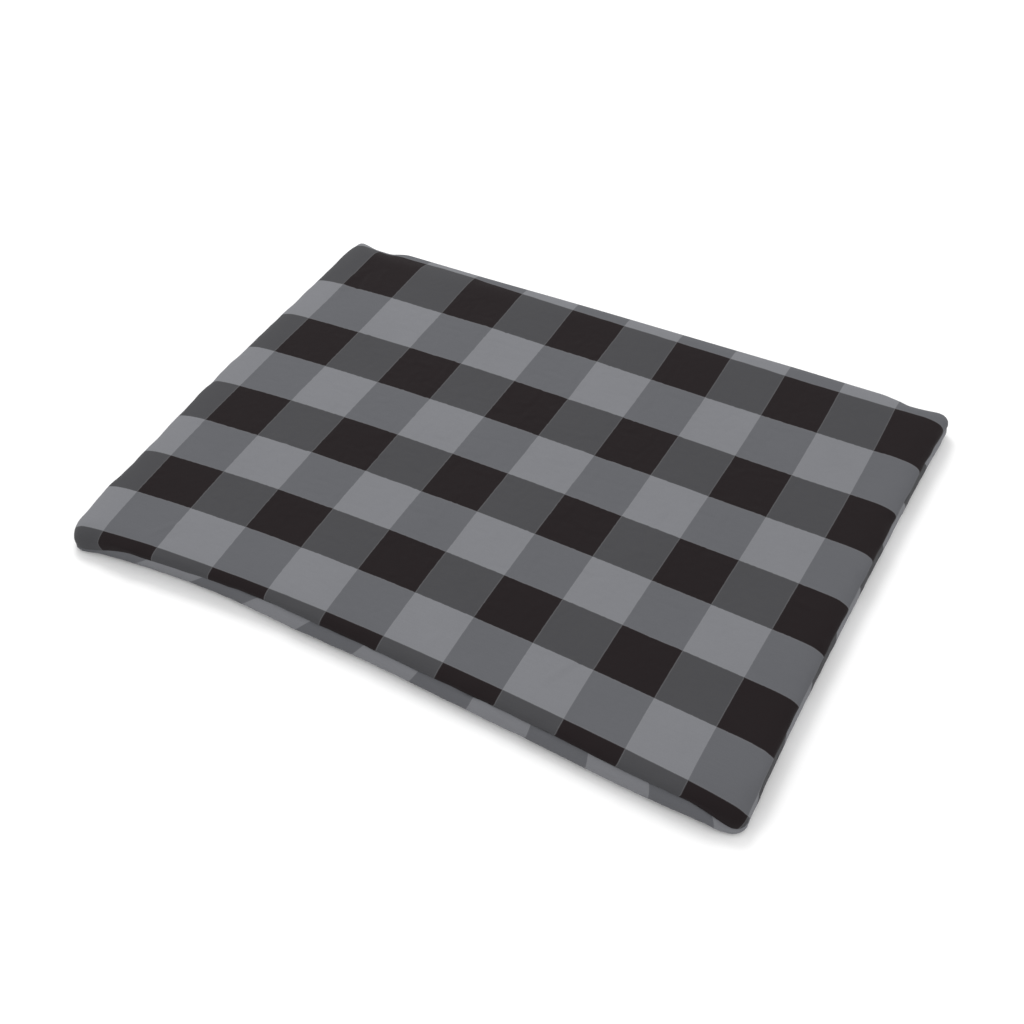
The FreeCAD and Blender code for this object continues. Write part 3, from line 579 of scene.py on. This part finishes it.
def inner_half(which, side_gap, face_gap, bump=0.0, seed=0):
    """One half of a layer inside the cover, on every other column: rings from its own seam inwards, then a grid."""
    cover = B["top" if which == "top" else "low"]
    sign = 1 if which == "top" else -1
    cols = np.arange(0, NP, 2)
    inset = np.array([0.0, 0.3, 1.0, 2.2, 4.0, 6.5, 10.0, 14.0, 20.0, 27.0, 35.0, D0 - side_gap]) + side_gap
    first = 3
    q, out = B["q"], B["out"]
    d = D0 - np.sum((cover[:, :, :2] - q[None]) * out[None], axis=2) / np.sum(out * out, axis=1)[None]
    rings = []
    start = recess()
    for c in cols:
        dc, zc = d[first:, c], cover[first:, c, 2]
        if which == "low":
            dc, zc = d[6:, c], cover[6:, c, 2]
            order = np.argsort(dc)
            dc, zc = dc[order], zc[order]
        lowest = start[c]
        z = np.interp(lowest + inset - side_gap + 0.3, dc, zc) - sign * face_gap
        z = np.maximum(z, B["zs"][c]) if which == "top" else np.minimum(z, B["zs"][c])
        z[0] = B["zs"][c]
        at = np.minimum(lowest + inset, D0)
        xy = q[c][None] + out[c][None] * (D0 - at)[:, None]
        rings.append(np.concatenate([xy, z[:, None]], 1))
    rings = np.array(rings).transpose(1, 0, 2)
    grid = (B["top_grid"] if which == "top" else B["low_grid"])[::2, ::2].copy()
    grid[:, :, 2] -= sign * face_gap
    rim = [(i // 2, j // 2) for i, j in RIM[::2]]
    verts, faces = panel_arrays(rings, grid, rim)
    if bump:
        n = noise2(verts[:, 0] / 26 + 3, verts[:, 1] / 23, seed) + 0.5 * noise2(verts[:, 0] / 11, verts[:, 1] / 12 + 7, seed + 1)
        verts[:, 2] -= sign * bump * (0.5 + 0.5 * n) * np.clip(np.abs(verts[:, 2] - 28) / 10, 0, 1)
    return verts, faces if which == "top" else faces[:, ::-1]


def layer_uv(verts):
    return {"cloth": verts[:, :2] / 1000}


def make_insert(which):
    verts, faces = inner_half(which, 4.6, 2.2, 0.30, 11)
    name = "insert_top" if which == "top" else "insert_bottom"
    obj = new_mesh(name, verts, faces, layer_uv(verts))
    thicken(obj, 0.35)
    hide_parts(name + "_panel")
    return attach(obj, "mat")


def make_filling():
    tv, tf = inner_half("top", 7.4, 3.5, 0.9, 21)
    lv, lf = inner_half("low", 7.4, 3.5, 0.7, 25)
    n = NP // 2
    weld = np.arange(len(lv)) + len(tv)
    weld[:n] = np.arange(n)
    keep = np.concatenate([np.arange(len(tv)), np.arange(n, len(lv)) + len(tv)])
    index = np.full(len(tv) + len(lv), -1)
    index[keep] = np.arange(len(keep))
    verts = np.concatenate([tv, lv])[keep]
    obj = new_mesh("filling", verts, index[np.concatenate([tf, weld[lf]])], layer_uv(verts))
    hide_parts("fibre_filling")
    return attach(obj, "mat")


def tube(name, path, radius, sides=6, closed=False, squeeze=1.0, up=(0, 0, 1)):
    """Round thread or wire along path, in millimetres, as one mesh."""
    path = np.asarray(path, float)
    n = len(path)
    if closed:
        tangent = np.roll(path, -1, 0) - np.roll(path, 1, 0)
    else:
        tangent = np.gradient(path, axis=0)
    tangent /= np.linalg.norm(tangent, axis=1)[:, None]
    a = np.cross(tangent, np.array(up, float)[None])
    bad = np.linalg.norm(a, axis=1) < 1e-3
    a[bad] = np.cross(tangent[bad], np.array([1.0, 0.2, 0.1]))
    a /= np.linalg.norm(a, axis=1)[:, None]
    b = np.cross(tangent, a)
    t = np.linspace(0, 2 * np.pi, sides, endpoint=False)
    ring = (np.cos(t)[None, :, None] * a[:, None] + np.sin(t)[None, :, None] * b[:, None] * squeeze) * radius
    verts = (path[:, None] + ring).reshape(-1, 3)
    i = np.arange(n if closed else n - 1)
    j = np.arange(sides)
    i, j = np.meshgrid(i, j, indexing="ij")
    v = lambda p, k: (p % n) * sides + k % sides
    faces = np.stack([v(i, j), v(i + 1, j), v(i + 1, j + 1), v(i, j + 1)], 2).reshape(-1, 4).tolist()
    if not closed:
        faces.append(list(range(sides)))
        faces.append([(n - 1) * sides + k for k in range(sides)][::-1])
    return verts, faces


def joined(name, pieces):
    verts, faces, base = [], [], 0
    for v, f in pieces:
        verts.append(v)
        faces += [[k + base for k in q] for q in f]
        base += len(v)
    verts = np.concatenate(verts)
    mesh = bpy.data.meshes.new(name)
    mesh.from_pydata((verts * 0.001).tolist(), [], faces)
    mesh.polygons.foreach_set("use_smooth", np.ones(len(mesh.polygons), bool))
    mesh.update()
    bm = bmesh.new()
    bm.from_mesh(mesh)
    bmesh.ops.recalc_face_normals(bm, faces=bm.faces)
    bm.to_mesh(mesh)
    bm.free()
    obj = bpy.data.objects.new(name, mesh)
    bpy.context.scene.collection.objects.link(obj)
    return obj


insert_top, insert_bottom, filling = make_insert("top"), make_insert("low"), make_filling()


# the cover's seam runs everywhere but along the zip
start = NX + NY + NX // 2 + WINDOW + 1
run = (np.arange(NP - 2 * WINDOW - 1) + start) % NP
seam_pts = shape_top[:NP][run]
seam_normal = B["normal"][run]


def run_thread(points, normal, depth, swing, step):
    seg = np.concatenate([[0], np.cumsum(np.linalg.norm(np.diff(points, axis=0), axis=1))])
    at = np.arange(0, seg[-1], step)
    p = np.stack([np.interp(at, seg, points[:, k]) for k in range(3)], 1)
    nn = np.stack([np.interp(at, seg, normal[:, k]) for k in range(2)], 1)
    p[:, :2] -= nn * depth
    p[:, 2] += swing * np.sin(np.arange(len(at)) * np.pi / 2)
    return p


cover_thread = joined("cover_seam_stitches", [tube("t", run_thread(seam_pts, seam_normal, 1.35, 0.35, 1.4), 0.16, 5)])
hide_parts("cover_seam_thread")
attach(cover_thread, "mat")
at = recess() + 5.3
ins = np.concatenate([B["q"] + B["out"] * (D0 - at)[:, None], B["zs"][:, None]], 1)
insert_thread = joined("insert_seam_stitches", [tube("t", run_thread(ins, B["normal"], 0.0, 0.3, 1.7), 0.16, 5)])
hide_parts("insert_seam_thread")
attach(insert_thread, "mat")


# ------------------------------------------------------------------ zip
def span_of(node):
    lo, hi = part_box(node)
    return [1000 * v for v in lo], [1000 * v for v in hi]


def rear_section(rings, x):
    """The cover's outer line at the rear, at places x: [point, x, (y, z)]."""
    part = rings[:, NX + NY: 2 * NX + NY + 1]
    order = np.argsort(part[0, :, 0])
    return np.array([[np.interp(x, r[order, 0], r[order, k]) for k in (1, 2)] for r in part]).transpose(0, 2, 1)


def tape(node, name, up):
    """Woven tape sewn to the inside of the cover, 15 mm wide from the chain, following the cover's curve."""
    lo, hi = span_of(node)
    n = int((hi[0] - lo[0]) / 4)
    xs = np.linspace(lo[0], hi[0], n)
    rings, count = B["top" if up else "low"], 13 if up else 12
    line = np.concatenate([rear_section(rings, np.clip(xs, -383, 383))[:6 if not up else 3], rear_section(rings, xs)[6 if not up else 3:count]])
    steps = np.gradient(line, axis=0)
    steps /= np.linalg.norm(steps, axis=2)[:, :, None]
    inward = np.stack([-steps[:, :, 1], steps[:, :, 0]], 2) * (1 if up else -1)
    inner_face = line + inward * 0.92
    z0 = 28.75 if up else 27.25
    s = 1 if up else -1
    first = np.array([[373.1, z0], [373.1, z0 + s * 0.6], [373.1, z0 + s * 2.4]])
    path = np.concatenate([np.repeat(first[:, None], n, 1), inner_face[1:]])
    arc = np.concatenate([np.zeros((1, n)), np.cumsum(np.linalg.norm(np.diff(path, axis=0), axis=2), axis=0)])
    want = np.array([0.0, 0.6, 2.2, 4.2, 5.4, 6.6, 7.8, 9.0, 10.2, 11.4, 12.6, 13.8, 15.0])
    at = np.array([[[np.interp(w, arc[:, i], path[:, i, k]) for k in (0, 1)] for i in range(n)] for w in want])
    steps = np.gradient(at, axis=0)
    steps /= np.linalg.norm(steps, axis=2)[:, :, None]
    inward = np.stack([-steps[:, :, 1], steps[:, :, 0]], 2) * (1 if up else -1)
    back = at + inward * 0.6
    m = len(want)
    grid = np.concatenate([at, back[::-1]])
    verts = np.concatenate([np.broadcast_to(xs[None, :, None], (2 * m, n, 1)), grid], 2).reshape(-1, 3)
    faces, rows = [], 2 * m
    for r in range(rows):
        r2 = (r + 1) % rows
        for i in range(n - 1):
            faces.append([r * n + i, r * n + i + 1, r2 * n + i + 1, r2 * n + i])
    for i in (0, n - 1):
        for r in range(m - 1):
            faces.append([r * n + i, (r + 1) * n + i, (rows - 2 - r) * n + i, (rows - 1 - r) * n + i])
    obj = joined(name, [(verts, faces)])
    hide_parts(node)
    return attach(obj, "mat")


def coil(node, name, up):
    """Coil of one continuous filament, wound round a cord and sewn to the tape's edge; its heads reach the other coil's."""
    lo, hi = span_of(node)
    pitch, wire = 1.5, 0.34
    turns = int((hi[0] - lo[0] - 1.0) / pitch)
    per = 9
    t = np.arange(turns * per) / per
    a = 2 * np.pi * t
    s = 1 if up else -1
    cy, ry = (lo[1] + hi[1]) / 2, (hi[1] - lo[1]) / 2 - wire
    z_far, z_near = (hi[2] - 0.02, 27.75) if up else (lo[2] + 0.02, 28.25)
    cz, rz = (z_far + z_near) / 2, abs(z_far - z_near) / 2 - wire
    flat = np.sign(np.cos(a)) * np.abs(np.cos(a)) ** 0.75
    x = lo[0] + 0.6 + (t + (0.0 if up else 0.5)) * pitch + 0.16 * np.sin(2 * a)
    p = np.stack([x, cy + ry * np.sin(a), cz - s * rz * flat], 1)
    cord = np.stack([np.linspace(lo[0] + 0.5, hi[0] - 0.5, 190), np.full(190, cy), np.full(190, cz + s * 0.3)], 1)
    obj = joined(name, [tube("c", p, wire, 6, up=(1, 0, 0)), tube("k", cord, 0.62, 6)])
    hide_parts(node)
    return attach(obj, "mat")


def stitches(node, name):
    """Row of lock stitches that lie on the cover and dip into it at their ends."""
    lo, hi = span_of(node)
    z, y = (lo[2] + hi[2]) / 2, (lo[1] + hi[1]) / 2 + 0.06
    pitch, items = 3.0, []
    x = lo[0] + 0.6
    i = 0
    while x + pitch < hi[0]:
        s = np.linspace(0, 1, 7)
        arch = np.sin(np.pi * s) ** 0.5
        px = x + 0.25 + s * (pitch - 0.5)
        items.append(tube("s", np.stack([px, y - 0.42 * (1 - arch), z + 0.08 * np.sin(i * 2.1) + 0.10 * (s - 0.5)], 1), 0.17, 6))
        x += pitch
        i += 1
    obj = joined(name, items)
    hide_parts(node)
    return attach(obj, "mat")


tape_upper, tape_lower = tape("zip_tape_upper", "tape_upper", True), tape("zip_tape_lower", "tape_lower", False)
coil_upper, coil_lower = coil("zip_coil_upper", "coil_upper", True), coil("zip_coil_lower", "coil_lower", False)
stitch_upper, stitch_lower = stitches("zip_stitching_upper", "stitches_upper"), stitches("zip_stitching_lower", "stitches_lower")


def care_label():
    """Blank folded label of white satin, caught in the rear seam, curling a little outwards at its foot."""
    lo, hi = span_of("care_label")
    nx, nz = 25, 19
    xs = np.linspace(lo[0] + 0.3, hi[0] - 0.3, nx)
    u = np.linspace(0, 1, nz)
    rear = B["low"][:, NX + NY: 2 * NX + NY + 1]
    seam = shape_top[NX + NY: 2 * NX + NY + 1]
    order = np.argsort(seam[:, 0])
    top_y, top_z = np.interp(xs, seam[order, 0], seam[order, 1]), np.interp(xs, seam[order, 0], seam[order, 2])
    wall = np.max(rear[:9, :, 1], axis=0)
    wall_x = rear[4, :, 0]
    order = np.argsort(wall_x)
    wall_y = np.interp(xs, wall_x[order], wall[order])
    layers = []
    for side in (0, 1):
        z = top_z[:, None] - (top_z[:, None] - lo[2]) * u[None] + 0 * xs[:, None]
        reach = smooth(u, 0.0, 0.25)[None]
        y = top_y[:, None] * (1 - reach) + (wall_y[:, None] + 0.35) * reach
        y = y + 0.9 * u[None] ** 3 + 0.25 * np.sin(xs / 6.0)[:, None] * u[None] ** 2 + side * (0.16 + 0.5 * u[None] * (1 - u[None] ** 6))
        x = xs[:, None] + 0 * u[None]
        layers.append(np.stack([x, y, z], 2))
    verts = np.concatenate([l.reshape(-1, 3) for l in layers])
    faces = []
    for s in (0, 1):
        for i in range(nx - 1):
            for j in range(nz - 1):
                v = s * nx * nz + i * nz + j
                faces.append([v, v + nz, v + nz + 1, v + 1])
    for i in range(nx - 1):
        a, b = i * nz + nz - 1, (i + 1) * nz + nz - 1
        faces.append([a, b, b + nx * nz, a + nx * nz])
    obj = joined("label", [(verts, faces)])
    thick = obj.modifiers.new("ply", "SOLIDIFY")
    thick.thickness, thick.offset = 0.00012, 0
    apply_modifiers(obj)
    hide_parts("care_label")
    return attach(obj, "mat")


label = care_label()

# softened edges on the metal parts, whose shape is the CAD's
for node in ("zip_slider", "zip_pull_tab", "zip_top_stops", "zip_bottom_stop"):
    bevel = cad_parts[node].modifiers.new("edges", "BEVEL")
    bevel.width, bevel.segments, bevel.limit_method, bevel.angle_limit = 0.00018, 2, "ANGLE", math.radians(40)
    bevel.harden_normals = False

# ------------------------------------------------------------------ materials
class Tree:
    """Short way to write a node material."""

    def __init__(self, name):
        self.mat = bpy.data.materials.new(name)
        self.mat.use_nodes = True
        self.t = self.mat.node_tree
        self.t.nodes.clear()
        self.out = self.t.nodes.new("ShaderNodeOutputMaterial")
        self.bsdf = self.t.nodes.new("ShaderNodeBsdfPrincipled")
        self.t.links.new(self.bsdf.outputs[0], self.out.inputs[0])

    def node(self, kind, **props):
        n = self.t.nodes.new(kind)
        for k, v in props.items():
            setattr(n, k, v)
        return n

    def put(self, socket, value):
        if hasattr(value, "is_output"):
            self.t.links.new(value, socket)
        else:
            socket.default_value = value

    def math(self, op, a, b=0.0, c=0.0, clamp=False):
        n = self.node("ShaderNodeMath", operation=op, use_clamp=clamp)
        for s, v in zip(n.inputs, (a, b, c)):
            self.put(s, v)
        return n.outputs[0]

    def mix(self, fac, a, b, kind="MIX"):
        n = self.node("ShaderNodeMix", data_type="RGBA", blend_type=kind)
        self.put(n.inputs[0], fac)
        for s, v in ((n.inputs[6], a), (n.inputs[7], b)):
            self.put(s, v if hasattr(v, "is_output") else (*v[:3], 1.0))
        return n.outputs[2]

    def noise(self, vector, scale, detail=2.0, rough=0.5, dims="3D"):
        n = self.node("ShaderNodeTexNoise", noise_dimensions=dims)
        self.put(n.inputs["Vector"], vector)
        n.inputs["Scale"].default_value, n.inputs["Detail"].default_value, n.inputs["Roughness"].default_value = scale, detail, rough
        return n.outputs[0]

    def span(self, value, a, b, c, d):
        n = self.node("ShaderNodeMapRange")
        for s, v in zip(n.inputs, (value, a, b, c, d)):
            self.put(s, v)
        return n.outputs[0]

    def uv(self, name):
        return self.node("ShaderNodeUVMap", uv_map=name).outputs[0]

    def xyz(self, vector):
        n = self.node("ShaderNodeSeparateXYZ")
        self.put(n.inputs[0], vector)
        return n.outputs

    def object(self):
        return self.node("ShaderNodeTexCoord").outputs["Object"]

    def bump(self, height, strength, distance, normal=None):
        n = self.node("ShaderNodeBump")
        n.inputs["Strength"].default_value, n.inputs["Distance"].default_value = strength, distance
        self.put(n.inputs["Height"], height)
        if normal is not None:
            self.put(n.inputs["Normal"], normal)
        return n.outputs[0]

    def set(self, **values):
        for k, v in values.items():
            self.put(self.bsdf.inputs[k.replace("_", " ")], v if not isinstance(v, tuple) else (*v[:3], 1.0))
        return self.mat


def lin(r, g, b):
    f = lambda c: c / 12.92 if c <= 0.04045 else ((c + 0.055) / 1.055) ** 2.4
    return tuple(f(v / 255) for v in (r, g, b))


def weave(t, vector, pitch_u, pitch_v):
    """Plain weave: height from 0 to 1 of warp and weft threads that pass over and under each other."""
    u, v = t.xyz(vector)[:2]
    a = t.math("MULTIPLY", u, math.pi / pitch_u)
    b = t.math("MULTIPLY", v, math.pi / pitch_v)
    warp, weft = t.math("ABSOLUTE", t.math("SINE", a)), t.math("ABSOLUTE", t.math("SINE", b))
    cu = t.math("FLOOR", t.math("DIVIDE", u, pitch_u))
    cv = t.math("FLOOR", t.math("DIVIDE", v, pitch_v))
    over = t.math("FLOORED_MODULO", t.math("ADD", cu, cv), 2.0)
    up = t.math("MULTIPLY", warp, t.math("ADD", 0.35, t.math("MULTIPLY", weft, 0.65)))
    side = t.math("MULTIPLY", weft, t.math("ADD", 0.35, t.math("MULTIPLY", warp, 0.65)))
    pick = t.node("ShaderNodeMix", data_type="FLOAT")
    t.put(pick.inputs[0], over), t.put(pick.inputs[2], up), t.put(pick.inputs[3], side)
    return pick.outputs[0]


def cover_material():
    t = Tree("cover_print")
    p = t.uv("print")
    cloth = t.uv("cloth")
    fray = t.math("MULTIPLY", t.math("SUBTRACT", t.noise(cloth, 900.0, 1.0), 0.5), 0.010)
    i, j = t.xyz(p)[:2]
    i, j = t.math("ADD", i, fray), t.math("ADD", j, fray)
    odd_i = t.math("GREATER_THAN", t.math("FLOORED_MODULO", i, 2.0), 1.0)
    odd_j = t.math("GREATER_THAN", t.math("FLOORED_MODULO", j, 2.0), 1.0)
    dark = t.mix(odd_i, C_BLACK, C_DARK)
    light = t.mix(odd_i, C_MID, C_LIGHT)
    colour = t.mix(odd_j, dark, light)
    near = t.math("MINIMUM", t.math("ABSOLUTE", t.math("SUBTRACT", i, t.math("ROUND", i))), t.math("ABSOLUTE", t.math("SUBTRACT", j, t.math("ROUND", j))))
    colour = t.mix(t.span(near, 0.004, 0.011, 0.22, 0.0), colour, C_LINE)       # the print's squares meet in a faint paler line
    wv = weave(t, cloth, 0.00062, 0.00062)
    wide = t.noise(cloth, 7.0, 3.0, 0.55)
    fine = t.noise(cloth, 1500.0, 2.0, 0.6)
    slub = t.node("ShaderNodeMapping")
    t.put(slub.inputs["Vector"], cloth)
    slub.inputs["Scale"].default_value = (30.0, 900.0, 1.0)
    slubs = t.noise(slub.outputs[0], 1.0, 2.0, 0.5)
    shade = t.math("ADD", t.span(wv, 0.0, 1.0, 0.90, 1.05), t.span(wide, 0.3, 0.7, -0.018, 0.018))
    shade = t.math("ADD", shade, t.span(fine, 0.25, 0.75, -0.05, 0.05))
    shade = t.math("ADD", shade, t.span(slubs, 0.3, 0.7, -0.02, 0.02))
    grey = t.node("ShaderNodeCombineColor")
    for s in grey.inputs[:3]:
        t.put(s, shade)
    colour = t.mix(1.0, colour, grey.outputs[0], "MULTIPLY")
    rough = t.math("ADD", 0.80, t.math("MULTIPLY", t.math("SUBTRACT", fine, 0.5), 0.16), clamp=True)
    height = t.math("ADD", wv, t.math("MULTIPLY", fine, 0.35))
    normal = t.bump(height, 0.35, 0.00012)
    normal = t.bump(t.noise(cloth, 26.0, 3.0, 0.5), 0.25, 0.0011, normal)
    t.set(Base_Color=colour, Roughness=rough, Normal=normal)
    t.bsdf.inputs["Sheen Weight"].default_value = 0.03
    t.bsdf.inputs["Sheen Roughness"].default_value = 0.45
    t.bsdf.inputs["Specular IOR Level"].default_value = 0.06
    return t.mat


def set_material(obj, mat):
    obj.data.materials.clear()
    obj.data.materials.append(mat)


m_cover = cover_material()
for o in (cover_top, cover_bottom):
    set_material(o, m_cover)


def plain_cloth(name, colour, pitch, bump, rough=0.85):
    """Undyed woven or spun cloth with its threads, broad lighter and darker patches painted in as the shade of faint
    creases, and slight unevenness.
    """
    t = Tree(name)
    o = t.object()
    wv = weave(t, o, pitch, pitch)
    wide, fine = t.noise(o, 14.0, 3.0), t.noise(o, 1300.0, 2.0)
    # painted shade: the broad noise darkens and lightens the colour in patches, standing in for the shading of faint
    # creases
    shade = t.math("ADD", t.span(wv, 0.0, 1.0, 0.88, 1.03), t.span(wide, 0.3, 0.7, -0.03, 0.03))
    shade = t.math("ADD", shade, t.span(fine, 0.25, 0.75, -0.04, 0.04))
    grey = t.node("ShaderNodeCombineColor")
    for s in grey.inputs[:3]:
        t.put(s, shade)
    colour = t.mix(1.0, colour, grey.outputs[0], "MULTIPLY")
    normal = t.bump(t.math("ADD", wv, t.math("MULTIPLY", fine, 0.5)), 0.4, bump)
    t.set(Base_Color=colour, Roughness=t.span(fine, 0.2, 0.8, rough - 0.06, rough + 0.06), Normal=normal)
    t.bsdf.inputs["Specular IOR Level"].default_value = 0.2
    return t.mat


def fibre_material():
    t = Tree("fibre")
    o = t.object()
    bend = t.noise(o, 60.0, 3.0, 0.6)
    n = t.node("ShaderNodeTexNoise")
    t.put(n.inputs["Vector"], o)
    n.inputs["Scale"].default_value, n.inputs["Detail"].default_value, n.inputs["Distortion"].default_value = 400.0, 5.0, 3.0
    shade = t.mix(n.outputs[0], (0.70, 0.69, 0.66), (0.90, 0.90, 0.88))
    normal = t.bump(t.math("ADD", n.outputs[0], bend), 0.8, 0.0009)
    t.set(Base_Color=shade, Roughness=t.span(bend, 0.2, 0.8, 0.86, 0.98), Normal=normal)
    t.bsdf.inputs["Sheen Weight"].default_value = 0.2
    return t.mat


def thread_material(name, colour):
    t = Tree(name)
    o = t.object()
    n = t.node("ShaderNodeTexWave", wave_type="BANDS", bands_direction="DIAGONAL")
    t.put(n.inputs["Vector"], o)
    n.inputs["Scale"].default_value, n.inputs["Distortion"].default_value = 900.0, 1.0
    fine = t.noise(o, 3000.0, 1.0)
    c = t.mix(n.outputs[1], tuple(v * 0.72 for v in colour), colour)
    t.set(Base_Color=c, Roughness=t.span(fine, 0.2, 0.8, 0.5, 0.7), Normal=t.bump(n.outputs[1], 0.5, 0.00008))
    t.bsdf.inputs["Sheen Weight"].default_value = 0.1
    return t.mat


def tape_material():
    """Herringbone zip tape."""
    t = Tree("tape")
    o = t.object()
    x, y, z = t.xyz(o)[:3]
    zig = t.math("PINGPONG", x, 0.0022)
    a = t.math("MULTIPLY", t.math("ADD", z, zig), 2 * math.pi / 0.0011)
    ribs = t.math("MULTIPLY_ADD", t.math("SINE", a), 0.5, 0.5)
    fine = t.noise(o, 2600.0, 2.0)
    c = t.mix(ribs, (0.010, 0.010, 0.011), (0.026, 0.026, 0.028))
    t.set(Base_Color=c, Roughness=t.span(fine, 0.2, 0.8, 0.68, 0.86), Normal=t.bump(t.math("ADD", ribs, t.math("MULTIPLY", fine, 0.4)), 0.6, 0.00018))
    t.bsdf.inputs["Specular IOR Level"].default_value = 0.25
    return t.mat


def nylon_material():
    t = Tree("nylon")
    o = t.object()
    fine, wide = t.noise(o, 1800.0, 2.0), t.noise(o, 40.0, 2.0)
    c = t.mix(wide, (0.014, 0.014, 0.016), (0.026, 0.026, 0.029))
    t.set(Base_Color=c, Roughness=t.span(fine, 0.2, 0.8, 0.28, 0.42), Normal=t.bump(fine, 0.15, 0.00004))
    return t.mat


def metal_material():
    """Dark plated zinc, brushed by the barrel and rubbed brighter in patches."""
    t = Tree("plated")
    o = t.object()
    fine, wear = t.noise(o, 2600.0, 3.0), t.noise(o, 260.0, 3.0, 0.6)
    rub = t.span(wear, 0.52, 0.66, 0.0, 1.0)
    c = t.mix(rub, (0.16, 0.16, 0.165), (0.38, 0.38, 0.39))
    t.set(Base_Color=c, Roughness=t.math("ADD", t.span(fine, 0.2, 0.8, 0.24, 0.40), t.math("MULTIPLY", rub, -0.06)), Normal=t.bump(fine, 0.2, 0.00003))
    t.bsdf.inputs["Metallic"].default_value = 1.0
    return t.mat


def satin_material():
    t = Tree("satin")
    o = t.object()
    x, y, z = t.xyz(o)[:3]
    ribs = t.math("ABSOLUTE", t.math("SINE", t.math("MULTIPLY", z, math.pi / 0.00045)))
    ends = t.math("ABSOLUTE", t.math("SINE", t.math("MULTIPLY", x, math.pi / 0.0003)))
    fine = t.noise(o, 1500.0, 2.0)
    c = t.mix(t.math("MULTIPLY", ribs, ends), (0.50, 0.50, 0.49), (0.60, 0.60, 0.59))
    t.set(Base_Color=c, Roughness=t.span(fine, 0.2, 0.8, 0.34, 0.5), Normal=t.bump(t.math("ADD", ribs, fine), 0.3, 0.00006))
    t.bsdf.inputs["Sheen Weight"].default_value = 0.15
    return t.mat


m_insert, m_fibre = plain_cloth("inner_cloth", (0.62, 0.62, 0.60), 0.0009, 0.0001), fibre_material()
m_dark_thread, m_white_thread = thread_material("dark_thread", (0.030, 0.030, 0.032)), thread_material("white_thread", (0.78, 0.78, 0.76))
m_tape, m_nylon, m_metal, m_satin = tape_material(), nylon_material(), metal_material(), satin_material()
for objs, m in (
    ((insert_top, insert_bottom), m_insert), ((filling,), m_fibre), ((cover_thread, stitch_upper, stitch_lower), m_dark_thread),
    ((insert_thread,), m_white_thread), ((tape_upper, tape_lower), m_tape), ((coil_upper, coil_lower), m_nylon), ((label,), m_satin),
):
    for o in objs:
        set_material(o, m)
for node in ("zip_slider", "zip_pull_tab", "zip_top_stops", "zip_bottom_stop"):
    set_material(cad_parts[node], m_metal)

# ------------------------------------------------------------------ floor, light and camera
def make_stage():
    m = bpy.data.meshes.new("floor")
    r = 14.0
    m.from_pydata([(-r, -r, 0), (r, -r, 0), (r, r, 0), (-r, r, 0)], [], [(0, 1, 2, 3)])
    floor = bpy.data.objects.new("floor", m)
    bpy.context.scene.collection.objects.link(floor)
    floor.location = (0, 0, -0.0004)
    t = Tree("floor_paint")
    t.set(Base_Color=(0.86, 0.86, 0.86), Roughness=0.9)
    t.bsdf.inputs["Specular IOR Level"].default_value = 0.0
    set_material(floor, t.mat)
    floor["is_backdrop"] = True
    w = bpy.data.worlds.new("studio")
    w.use_nodes = True
    w.node_tree.nodes["Background"].inputs[0].default_value = (1, 1, 1, 1)
    w.node_tree.nodes["Background"].inputs[1].default_value = WORLD
    bpy.context.scene.world = w
    for name, place, size, power in LAMPS:
        light = bpy.data.lights.new(name, "AREA")
        light.shape, light.size, light.energy = "DISK", size, power
        o = bpy.data.objects.new(name, light)
        o.location = place
        o.rotation_euler = (Vector((0, 0, 0)) - Vector(place)).to_track_quat("-Z", "Y").to_euler()
        bpy.context.scene.collection.objects.link(o)


def make_camera():
    data = bpy.data.cameras.new("camera")
    data.sensor_width, data.lens = 36.0, CAM_LENS
    data.clip_start, data.clip_end = 0.05, 60.0
    cam = bpy.data.objects.new("camera", data)
    right, down, ahead = (Vector(v) for v in CAM_AXES)
    basis = Matrix((right, -down, -ahead)).transposed().to_4x4()
    basis.translation = Vector(CAM_PLACE)
    cam.matrix_world = basis
    bpy.context.scene.collection.objects.link(cam)
    bpy.context.scene.camera = cam


make_stage()
make_camera()
bpy.context.scene.view_settings.view_transform = "Standard"
bpy.context.scene.view_settings.look = "None"

{"cad": CAD_BOX, "visual": [list(v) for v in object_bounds()]}
